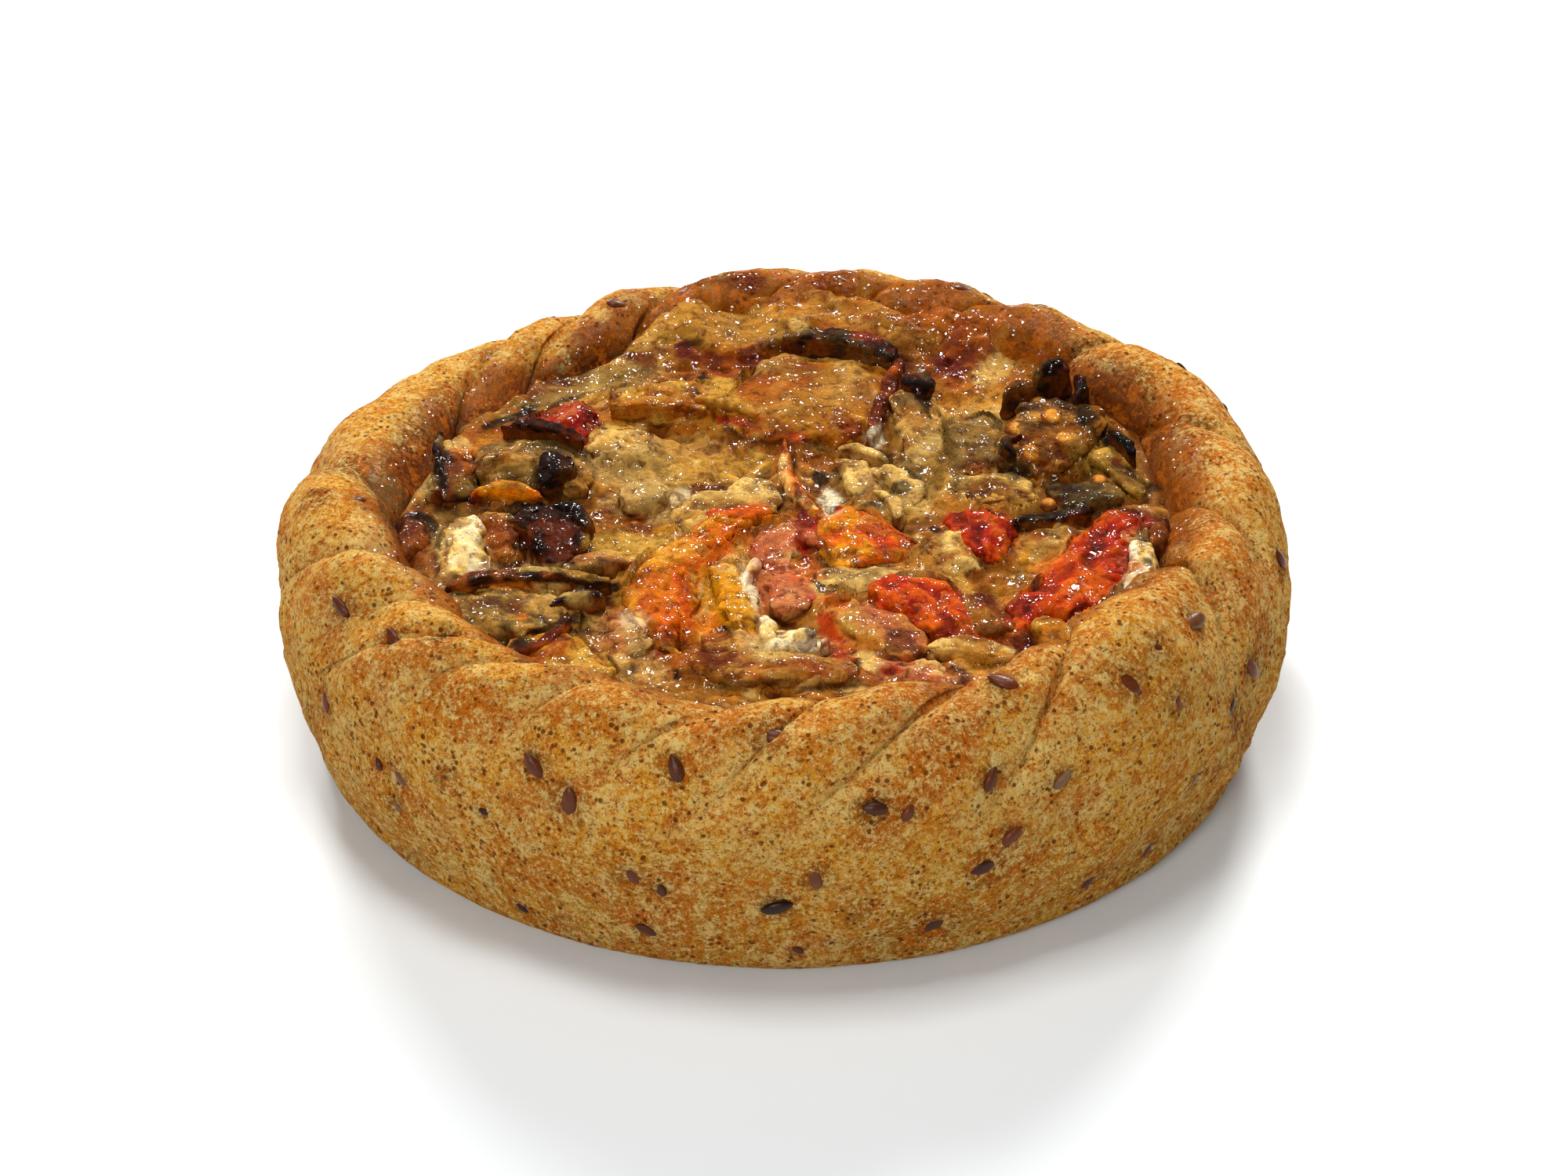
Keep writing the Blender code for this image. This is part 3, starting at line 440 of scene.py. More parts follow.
# Materials
class Nodes:
    """Short calls for building a material's node tree."""

    def __init__(self, name):
        self.material = bpy.data.materials.new(name)
        self.material.use_nodes = True
        self.tree = self.material.node_tree
        self.shader = self.tree.nodes["Principled BSDF"]
        self.place = self.add("ShaderNodeTexCoord").outputs["Object"]

    def add(self, kind, **settings):
        node = self.tree.nodes.new(kind)
        for key, value in settings.items():
            setattr(node, key, value)
        return node

    def link(self, source, target):
        if isinstance(source, (int, float, tuple)):
            target.default_value = source
        else:
            self.tree.links.new(source, target)

    def put(self, name, source):
        """Give a socket of the shader its value, or what feeds it."""
        self.link(source, self.shader.inputs[name])

    def attribute(self, name, output):
        return self.add("ShaderNodeAttribute", attribute_name=name).outputs[output]

    def grain(self, scale, detail=3.0, roughness=0.6, distortion=0.0):
        """Noise whose features are about 1/scale metres wide."""
        node = self.add("ShaderNodeTexNoise")
        self.link(self.place, node.inputs["Vector"])
        for key, value in (("Scale", scale), ("Detail", detail), ("Roughness", roughness),
                           ("Distortion", distortion)):
            node.inputs[key].default_value = value
        return node.outputs["Fac"]

    def spots(self, scale):
        """Distance to the nearest of scattered points, about 1/scale metres apart."""
        node = self.add("ShaderNodeTexVoronoi")
        self.link(self.place, node.inputs["Vector"])
        node.inputs["Scale"].default_value = scale
        return node.outputs["Distance"]

    def ramp(self, value, low, high, start=0.0, end=1.0):
        node = self.add("ShaderNodeMapRange", interpolation_type='SMOOTHSTEP')
        self.link(value, node.inputs["Value"])
        for key, number in (("From Min", low), ("From Max", high), ("To Min", start), ("To Max", end)):
            node.inputs[key].default_value = number
        return node.outputs["Result"]

    def math(self, operation, first, second):
        node = self.add("ShaderNodeMath", operation=operation)
        self.link(first, node.inputs[0])
        self.link(second, node.inputs[1])
        return node.outputs[0]

    def times(self, first, second):
        return self.math('MULTIPLY', first, second)

    def dome(self, near, fall):
        """Round drops: 1 at each scattered point, less by the square of the distance, never below 0."""
        left = self.math('SUBTRACT', 1.0, self.times(self.times(near, near), fall))
        return self.math('MAXIMUM', left, 0.0)

    def mix(self, share, first, second, mode='MIX'):
        node = self.add("ShaderNodeMix", data_type='RGBA', blend_type=mode)
        self.link(share, node.inputs[0])
        self.link(first, node.inputs[6])
        self.link(second, node.inputs[7])
        return node.outputs[2]

    def bump(self, height, distance, strength=1.0, before=None):
        node = self.add("ShaderNodeBump")
        self.link(height, node.inputs["Height"])
        node.inputs["Distance"].default_value = distance
        node.inputs["Strength"].default_value = strength
        if before is not None:
            self.link(before, node.inputs["Normal"])
        return node.outputs["Normal"]


def shade(name):
    return tuple(float(value) for value in ink(name)) + (1.0,)


def crust_material():
    """Browned wholemeal dough: pale flour specks, dark bran and fine pores, oil drops near the filling."""
    n = Nodes("crust_dough")
    tint = n.attribute("tint", "Color")
    wet = n.attribute("wet", "Fac")
    dry = n.math('SUBTRACT', 1.0, wet)
    coarse = n.grain(330.0, 5.0, 0.75)
    middle = n.grain(820.0, 5.0, 0.8)
    fine = n.grain(1400.0, 4.0, 0.85)
    tint = n.mix(n.ramp(coarse, 0.52, 0.59, 0.0, 0.8), tint, shade("toast"))
    tint = n.mix(n.times(n.ramp(coarse, 0.48, 0.40, 0.0, 0.7), dry), tint, shade("floury"))
    tint = n.mix(n.times(n.ramp(middle, 0.52, 0.60, 0.0, 0.85), dry), tint, shade("floury"))
    tint = n.mix(n.ramp(n.grain(1000.0, 5.0, 0.8, 0.3), 0.53, 0.60, 0.0, 0.80), tint, shade("toast"))
    tint = n.mix(n.times(n.ramp(fine, 0.55, 0.63, 0.0, 0.85), dry), tint, shade("floury"))
    bran = n.times(n.ramp(n.spots(800.0), 0.34, 0.22), n.ramp(n.grain(300.0, 2.0), 0.48, 0.56))
    tint = n.mix(n.times(bran, 0.85), tint, shade("rust"))
    n.put("Base Color", n.mix(n.ramp(fine, 0.46, 0.39, 0.0, 0.9), tint, shade("brown")))
    n.put("Roughness", n.math('SUBTRACT', 0.82, n.times(wet, 0.55)))
    n.put("Specular IOR Level", 0.04)
    near = n.spots(380.0)
    n.put("Coat Weight", n.times(wet, n.ramp(near, 0.34, 0.28, 0.02, 0.9)))
    n.put("Coat Roughness", 0.08)
    n.put("Coat IOR", 1.5)
    normal = n.bump(middle, 0.0014, 0.8, n.bump(coarse, 0.0020, 0.7))
    n.put("Normal", n.bump(n.grain(1900.0, 4.0, 0.8), 0.0008, 0.9, normal))
    n.put("Coat Normal", n.bump(n.dome(near, 6.0), 0.00036))
    return n.material


# What baking takes from every colour of the filling, as shares of red, green and blue
OVEN_BROWN = (0.90, 0.87, 0.78, 1.0)


def wet_material(name, depth=0.0, glow="amber", coat=0.6, bumpy=1.0):
    """Oily baked food: tint from the mesh, fine mottling, and round drops of oil over small wrinkles."""
    n = Nodes(name)
    tint = n.attribute("tint", "Color")
    wet = n.attribute("wet", "Fac")
    mottle = n.grain(430.0, 5.0, 0.65, 0.8)
    fine = n.grain(1300.0, 4.0, 0.8)
    dark = n.mix(1.0, tint, (0.30, 0.17, 0.08, 1.0), 'MULTIPLY')
    light = n.mix(1.0, tint, (1.45, 1.40, 1.10, 1.0), 'MULTIPLY')
    tint = n.mix(n.ramp(mottle, 0.48, 0.36, 0.0, 0.75), tint, dark)
    tint = n.mix(n.ramp(mottle, 0.53, 0.66, 0.0, 0.75), tint, light)
    tint = n.mix(n.ramp(fine, 0.45, 0.34, 0.0, 0.65), tint, dark)
    tint = n.mix(n.ramp(fine, 0.55, 0.66, 0.0, 0.6), tint, light)
    n.put("Base Color", n.mix(1.0, tint, OVEN_BROWN, 'MULTIPLY'))
    n.put("Roughness", n.math('SUBTRACT', 0.80, n.times(wet, 0.20)))
    n.put("Specular IOR Level", 0.03)
    large = n.spots(330.0)
    small = n.spots(640.0)
    patch = n.ramp(n.grain(190.0, 3.0, 0.6), 0.40, 0.50)
    drops = n.ramp(large, 0.38, 0.33)
    dots = n.times(n.ramp(small, 0.34, 0.29, 0.0, 0.9), patch)
    film = n.math('MAXIMUM', n.math('MAXIMUM', drops, dots), 0.02)
    n.put("Coat Weight", n.times(n.times(wet, 0.5 + 0.5 * coat), film))
    n.put("Coat Roughness", 0.07)
    n.put("Coat IOR", 1.5)
    if depth:
        n.put("Subsurface Weight", 0.6 * depth)
        n.put("Subsurface Radius", tuple(0.15 + 0.85 * float(c) for c in ink(glow)))
        n.put("Subsurface Scale", 0.0009)
    n.put("Normal", n.bump(fine, 0.0007 * bumpy, 0.7, n.bump(mottle, 0.0014 * bumpy, 0.7)))
    beads = n.bump(n.dome(large, 6.0), 0.00040)
    n.put("Coat Normal", n.bump(n.dome(small, 7.0), 0.00016, 1.0, beads))
    return n.material


def seed_material():
    """Smooth brown seed coats with a little variation."""
    n = Nodes("seed_coat")
    tint = n.attribute("tint", "Color")
    shadow = n.mix(1.0, tint, (0.6, 0.5, 0.45, 1.0), 'MULTIPLY')
    n.put("Base Color", n.mix(n.ramp(n.grain(900.0, 2.0), 0.35, 0.65, 0.0, 0.5), tint, shadow))
    n.put("Roughness", 0.34)
    n.put("Specular IOR Level", 0.22)
    n.put("Normal", n.bump(n.grain(2200.0, 2.0), 0.0002, 0.4))
    return n.material


# Crust
FOLD_COLUMNS = 36
UNDER_ROWS = 5
CORNER_ROWS = 10
WALL_ROWS = 36
ROLL_ROWS = 62
INNER_ROWS = 5
INNER_STEP = 2.2
SEED_GAP = 7.5

# Dents pressed in the dough: azimuth, section, reach, depth
CRUST_DENTS = table("""
    -80.7 1.22 1.5 1.1; -135.5 2.02 1.3 1.6; -113 1.2 1.1 .6; -91.5 1.6 1.2 .8; -118 1.35 1.2 .7
    -160 2.1 2.2 1; -20 2.3 3 .9; -34 2.3 3 1.2; -60 2.2 2 .6; -104 2 3 .6; -146 1.7 3 .8; 18 2.2 2 .8
""")

# Patches of the crust: azimuth, half width, section, half height, colour, strength
CRUST_PATCHES = table("""
    -127 9 1.55 .22 toast .8; -113 7 1.85 .25 toast .6; -98 6 1.9 .25 toast .6; -88 7 1.75 .3 toast .5
    -56 5 1.9 .5 toast .5; -36 9 1.9 .3 toast .45; -18 8 1.9 .35 toast .6; 0 10 2 .4 toast .6
    25 14 2.2 .4 toast .6; 14 3 2.4 .6 burnt .75; 41 2.5 2.3 .5 rust .7; 122 9 2.75 .3 deep .9
    134 10 2.75 .3 rust .8; 112 5 2.6 .3 rust .6; 100 5 1.9 .2 deep .7; 95 3 2.05 .15 blister .9
    84 3 2.1 .12 blister .5; 66 3 1.9 .15 blister .7; 8 12 2.35 .35 brown .85; 28 8 2.5 .4 rust .75
    46 6 2.3 .4 brown .8; -14 6 2.3 .3 caramel .8; -30 6 2.4 .35 brown .8; 150 8 2.4 .35 brown .8
    168 6 2.5 .3 caramel .7; -172 6 2.5 .3 rust .6; 170 14 2.65 .45 rust .9; 148 11 2.75 .35 rust .85
    -171 9 2.7 .4 burnt .7; -150 12 2.8 .3 rust .8; 176 5 2 .3 dusk .75; 179 7 2.35 .3 grey .7
    158 7 2.4 .3 rust .45; -157 9 2.2 .3 floury .5; -158 8 2.6 .25 caramel .7; -135 2 1.9 .2 burnt .8
    -75 8 .15 .25 brown .4; -95 6 .5 .3 toast .45; -118 6 .55 .35 toast .45; -81 2 1.2 .1 burnt .7
""")


def fold_shares():
    """Places of the columns across a fold, closer together at its creases."""
    even = np.linspace(0.0, 1.0, FOLD_COLUMNS, endpoint=False)
    return even - 0.075 * np.sin(2.0 * np.pi * even)


def seed_list():
    """The seeds that show, then the far side's, kept apart by a seeded draw, and where they all lie."""
    draw = np.random.default_rng(8)
    rows = list(LINSEEDS)
    spots = [crust_point(row[0], row[1]) for row in rows]
    while len(rows) < len(LINSEEDS) + FAR_SEEDS:
        azimuth, section = draw.uniform(-5.0, 172.0), draw.uniform(0.05, 1.8)
        point = crust_point(azimuth, section)
        across = fold_at(azimuth, section)[1]
        clear = min((point - other).length for other in spots) > SEED_GAP
        if clear and (section < 0.9 or 0.2 < across < 0.8):
            rows.append((azimuth, section, draw.uniform(-90.0, 90.0), draw.uniform(2.6, 4.8),
                         draw.uniform(0.2, 0.9)))
            spots.append(point)
    return rows, spots


def crust_grid():
    """Rings of points from the middle of the underside over the rim and down inside, and their sections."""
    shares = fold_shares()

    def azimuths(section):
        return [blend(crease_azimuth(fold, section), crease_azimuth(fold + 1, section), share)
                for fold in range(len(FOLDS)) for share in shares]

    def plain(radius, height):
        return [(radius * math.cos(math.radians(a)), radius * math.sin(math.radians(a)), height)
                for a in azimuths(0.0)]

    rows = [plain(FLAT_RADIUS * step / UNDER_ROWS, 0.0) for step in range(1, UNDER_ROWS + 1)]
    marks = [-1.0] * UNDER_ROWS
    for step in range(1, CORNER_ROWS):
        angle = 0.5 * math.pi * step / CORNER_ROWS
        radius = FLAT_RADIUS + CORNER_RADIUS * math.sin(angle)
        rows.append(plain(radius, CORNER_RADIUS * (1.0 - math.cos(angle))))
        marks.append(-0.2 * (1.0 - step / CORNER_ROWS))
    for section in [*np.linspace(0.0, 1.0, WALL_ROWS, endpoint=False), *np.linspace(1.0, LIP, ROLL_ROWS)]:
        rows.append([tuple(crust_point(a, section)) for a in azimuths(section)])
        marks.append(section)
    last = rows[-1]
    for step in range(1, INNER_ROWS + 1):
        rows.append([(x, y, z - INNER_STEP * step) for x, y, z in last])
        marks.append(LIP + 0.1 * step)
    return np.array(rows), np.array(marks)


def crust_places(grid, marks):
    """What the small relief and the colours go by at each point of the grid."""
    points = grid.reshape(-1, 3)
    at = SimpleNamespace()
    at.section = np.repeat(marks, grid.shape[1])
    at.azimuth = np.degrees(np.arctan2(points[:, 1], points[:, 0]))
    at.across = np.tile(fold_shares(), len(marks) * len(FOLDS))
    at.edge = np.minimum(at.across, 1.0 - at.across)
    number = np.tile(np.repeat(np.arange(len(FOLDS)), FOLD_COLUMNS), len(marks))
    at.crease = np.where(at.across < 0.5, number, number + 1) % len(FOLDS)
    at.rolled = step_up(0.9, 1.7, at.section)
    at.back = np.array([back_share(azimuth) for azimuth in at.azimuth])
    round_way = at.azimuth * 1.3
    level = 0.0 * at.section
    at.streak = rough(np.stack([round_way, 0.10 * points[:, 2], level], axis=-1), 1.3, 19, 3)
    at.drips = rough(np.stack([round_way, 0.35 * points[:, 2], at.section], axis=-1), 3.0, 29, 3)
    at.flow = np.stack([round_way - 18.0 * at.section, at.section * 2.0, level], axis=-1)
    return at


def crust_relief(points, at, beds):
    """Lumps, pores, cracks, half-closed creases, dents and the beds of the seeds, in millimetres."""
    s = at.section
    softness = np.array([fold[5] for fold in FOLDS])[at.crease]
    depth = np.array([fold[2] for fold in FOLDS])
    depth = 0.5 * (depth[at.crease] + depth[at.crease - 1])
    outside = 1.0 - step_up(2.1, 2.6, s)
    relief = 0.9 * rough(points, 12.0, 3, 2) + 0.26 * rough(points, 3.4, 9, 3)
    relief += 0.10 * rough(points, 1.1, 13, 2)
    relief += softness * 0.42 * depth * np.exp(-(at.edge / 0.13) ** 2) * at.rolled * outside
    pores, _, own = cells(points, 2.6, 21)
    relief -= 0.35 * step_up(0.30, 0.05, pores) * (own > 0.80)
    cracks = step_up(0.84, 0.97, ridged(at.flow, 2.6, 5))
    relief -= 0.30 * cracks * at.rolled * step_up(-0.2, 0.4, field(points, 9.0, 8))
    relief -= 0.25 * (1.0 - softness) * step_up(0.06, 0.0, at.edge) * at.rolled
    relief += 0.10 * at.streak * step_up(1.1, 0.7, s)
    for spot, length in beds:
        gap = np.linalg.norm(points - spot, axis=1) / (0.25 * length)
        relief += 0.22 * np.exp(-((gap - 1.9) / 0.6) ** 2) - 0.20 * np.exp(-(gap / 1.1) ** 2)
    for centre, level, reach, dent in CRUST_DENTS:
        middle = np.array(crust_point(centre, level))
        relief -= dent * np.exp(-(np.linalg.norm(points - middle, axis=1) / reach) ** 2)
    relief += 0.5 * at.back * at.drips * step_up(1.6, 2.0, s)
    return relief * step_up(-0.25, 0.3, s)


def crust_colours(points, at, beds):
    """Tint and wetness, from the pale floury wall to the dark oily inside of the rim."""
    s, back, drips = at.section, at.back, at.drips
    ridge = np.sin(np.pi * at.across)
    patch = rough(points, 17.0, 41, 3)
    small = rough(points, 5.0, 47, 3)
    tint = dye(ink("crust"), "wallshade", 0.8 * step_up(1.15, 0.2, s) * step_up(-0.8, 0.4, patch))
    tint = dye(tint, "floury", 0.50 * step_up(0.1, 0.9, small + 0.4 * patch) * step_up(2.6, 1.6, s))
    browned = step_up(-0.2, 0.7, patch + 0.6 * small)
    tint = dye(tint, "toast", 0.70 * at.rolled * step_up(0.25, 0.9, ridge) * browned)
    tint = dye(tint, "toast", 0.80 * step_up(0.25, 0.8, patch + 0.5 * small) * step_up(-0.2, 0.2, s))
    tint = dye(tint, "brown", 0.65 * step_up(0.2, 1.0, -patch + 0.6 * small) * step_up(1.1, 0.4, s))
    upper = step_up(0.75, 1.2, s)
    tint = dye(tint, "floury", 0.40 * step_up(0.3, 0.05, at.edge) * upper * step_up(2.2, 1.5, s))
    tint = dye(tint, "brown", 0.35 * step_up(0.2, 0.9, at.streak) * step_up(1.0, 0.6, s))
    tint = dye(tint, "honey", 0.85 * step_up(1.95, 2.4, s + 0.2 * small))
    tint = dye(tint, "caramel", 0.85 * step_up(2.15, 2.75, s + 0.25 * small))
    tint = dye(tint, "rust", 0.75 * step_up(2.3, 2.9, s + 0.3 * small) * step_up(-0.5, 0.4, patch - small))
    tint = dye(tint, "honey", 0.85 * back * step_up(1.72, 2.05, s + 0.15 * small))
    tint = dye(tint, "butter", 0.65 * back * step_up(0.3, 0.9, drips) * step_up(1.75, 2.05, s))
    tint = dye(tint, "caramel", 0.8 * back * step_up(-0.2, 0.5, -drips) * step_up(1.75, 2.05, s))
    tint = dye(tint, "deep", 0.8 * (1.0 - back) * step_up(2.78, 3.0, s + 0.1 * small))
    for centre, reach, level, width, name, strength in CRUST_PATCHES:
        gap = np.hypot(((at.azimuth - centre + 180.0) % 360.0 - 180.0) / reach, (s - level) / width)
        tint = dye(tint, name, strength * step_up(1.25, 0.55, gap + 0.35 * small))
    for spot, length in beds:
        gap = np.linalg.norm(points - spot, axis=1) / length
        tint = dye(tint, "brown", 0.75 * step_up(0.85, 0.45, gap + 0.15 * small))
    wet = 0.95 * step_up(2.0, 2.4, s + 0.2 * small) * step_up(-0.9, 0.1, small + 0.6)
    return tint, np.maximum(wet, back * step_up(1.72, 2.0, s + 0.12 * small))


def make_crust():
    """The crust's one mesh; it gives back the rows of its seeds."""
    grid, marks = crust_grid()
    seeds, spots = seed_list()
    beds = [(np.array(spot), row[3]) for row, spot in zip(seeds, spots)]
    at = crust_places(grid, marks)
    points = grid.reshape(-1, 3)
    points = points + grid_normals(grid).reshape(-1, 3) * crust_relief(points, at, beds)[:, None]
    tint, wet = crust_colours(points, at, beds)
    rows, columns = grid.shape[:2]
    crust = build_piece("crust_baked", points, grid_faces(rows, columns), tint, wet,
                        crust_material(), [list(range(columns))[::-1]])
    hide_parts("crust")
    return seeds


def lens(middle, normal, along, length, width, height, rings=9, sides=12):
    """A seed pointed at both ends, as rings of points and faces."""
    across = np.cross(normal, along)
    across /= np.linalg.norm(across)
    along = np.cross(across, normal)
    points = []
    for step in range(rings):
        place = -math.cos(math.pi * step / (rings - 1))
        share = max(0.02, (1.0 - place * place)) ** 0.62 * (1.0 - 0.18 * place)
        for side in range(sides):
            angle = math.tau * side / sides
            points.append(middle + along * place * length / 2.0
                          + across * math.cos(angle) * width * share / 2.0
                          + normal * math.sin(angle) * height * share / 2.0)
    return np.array(points), grid_faces(rings, sides)


def surface_frame(azimuth, section):
    """A point on the crust, the direction out of its surface there, and the one up along it."""
    point = np.array(crust_point(azimuth, section))
    up = np.array(crust_point(azimuth, section + 0.05)) - np.array(crust_point(azimuth, section - 0.05))
    side = np.array(crust_point(azimuth + 1.0, section)) - np.array(crust_point(azimuth - 1.0, section))
    up /= np.linalg.norm(up)
    normal = np.cross(side / np.linalg.norm(side), up)
    return point, normal / np.linalg.norm(normal), up


def gather(parts):
    """Several small closed meshes as one: points, faces and tints."""
    points, faces, tints, start = [], [], [], 0
    for part_points, part_faces, tint in parts:
        points.append(part_points)
        faces.append(part_faces + start)
        tints.append(np.broadcast_to(tint, part_points.shape))
        start += len(part_points)
    return np.concatenate(points), np.concatenate(faces), np.concatenate(tints)


def make_linseeds(rows):
    """Linseeds pressed into the crust, each with its own lean, depth and shade."""
    draw = np.random.default_rng(4)
    parts = []
    for azimuth, section, lean, length, tone in rows:
        point, normal, up = surface_frame(azimuth, section)
        side = np.cross(normal, up)
        angle = math.radians(lean)
        along = up * math.cos(angle) + side * math.sin(angle)
        normal = normal + 0.22 * draw.uniform(-1.0, 1.0) * along
        normal /= np.linalg.norm(normal)
        length *= draw.uniform(0.86, 1.0)
        points, faces = lens(point - draw.uniform(0.15, 0.36) * normal, normal, along, length,
                             draw.uniform(0.44, 0.54) * length, 1.25)
        points = points + 0.06 * np.stack([rough(points, 0.9, 400 + axis, 2) for axis in range(3)], axis=-1)
        if tone < 0.4:
            tint = blend(ink("paleseed"), ink("linseed"), tone / 0.4)
        else:
            tint = blend(ink("linseed"), ink("darkseed"), (tone - 0.4) / 0.6)
        parts.append((points, faces, tint))
    points, faces, tint = gather(parts)
    build_piece("linseeds", points, faces, tint, np.zeros(len(points)), seed_material())


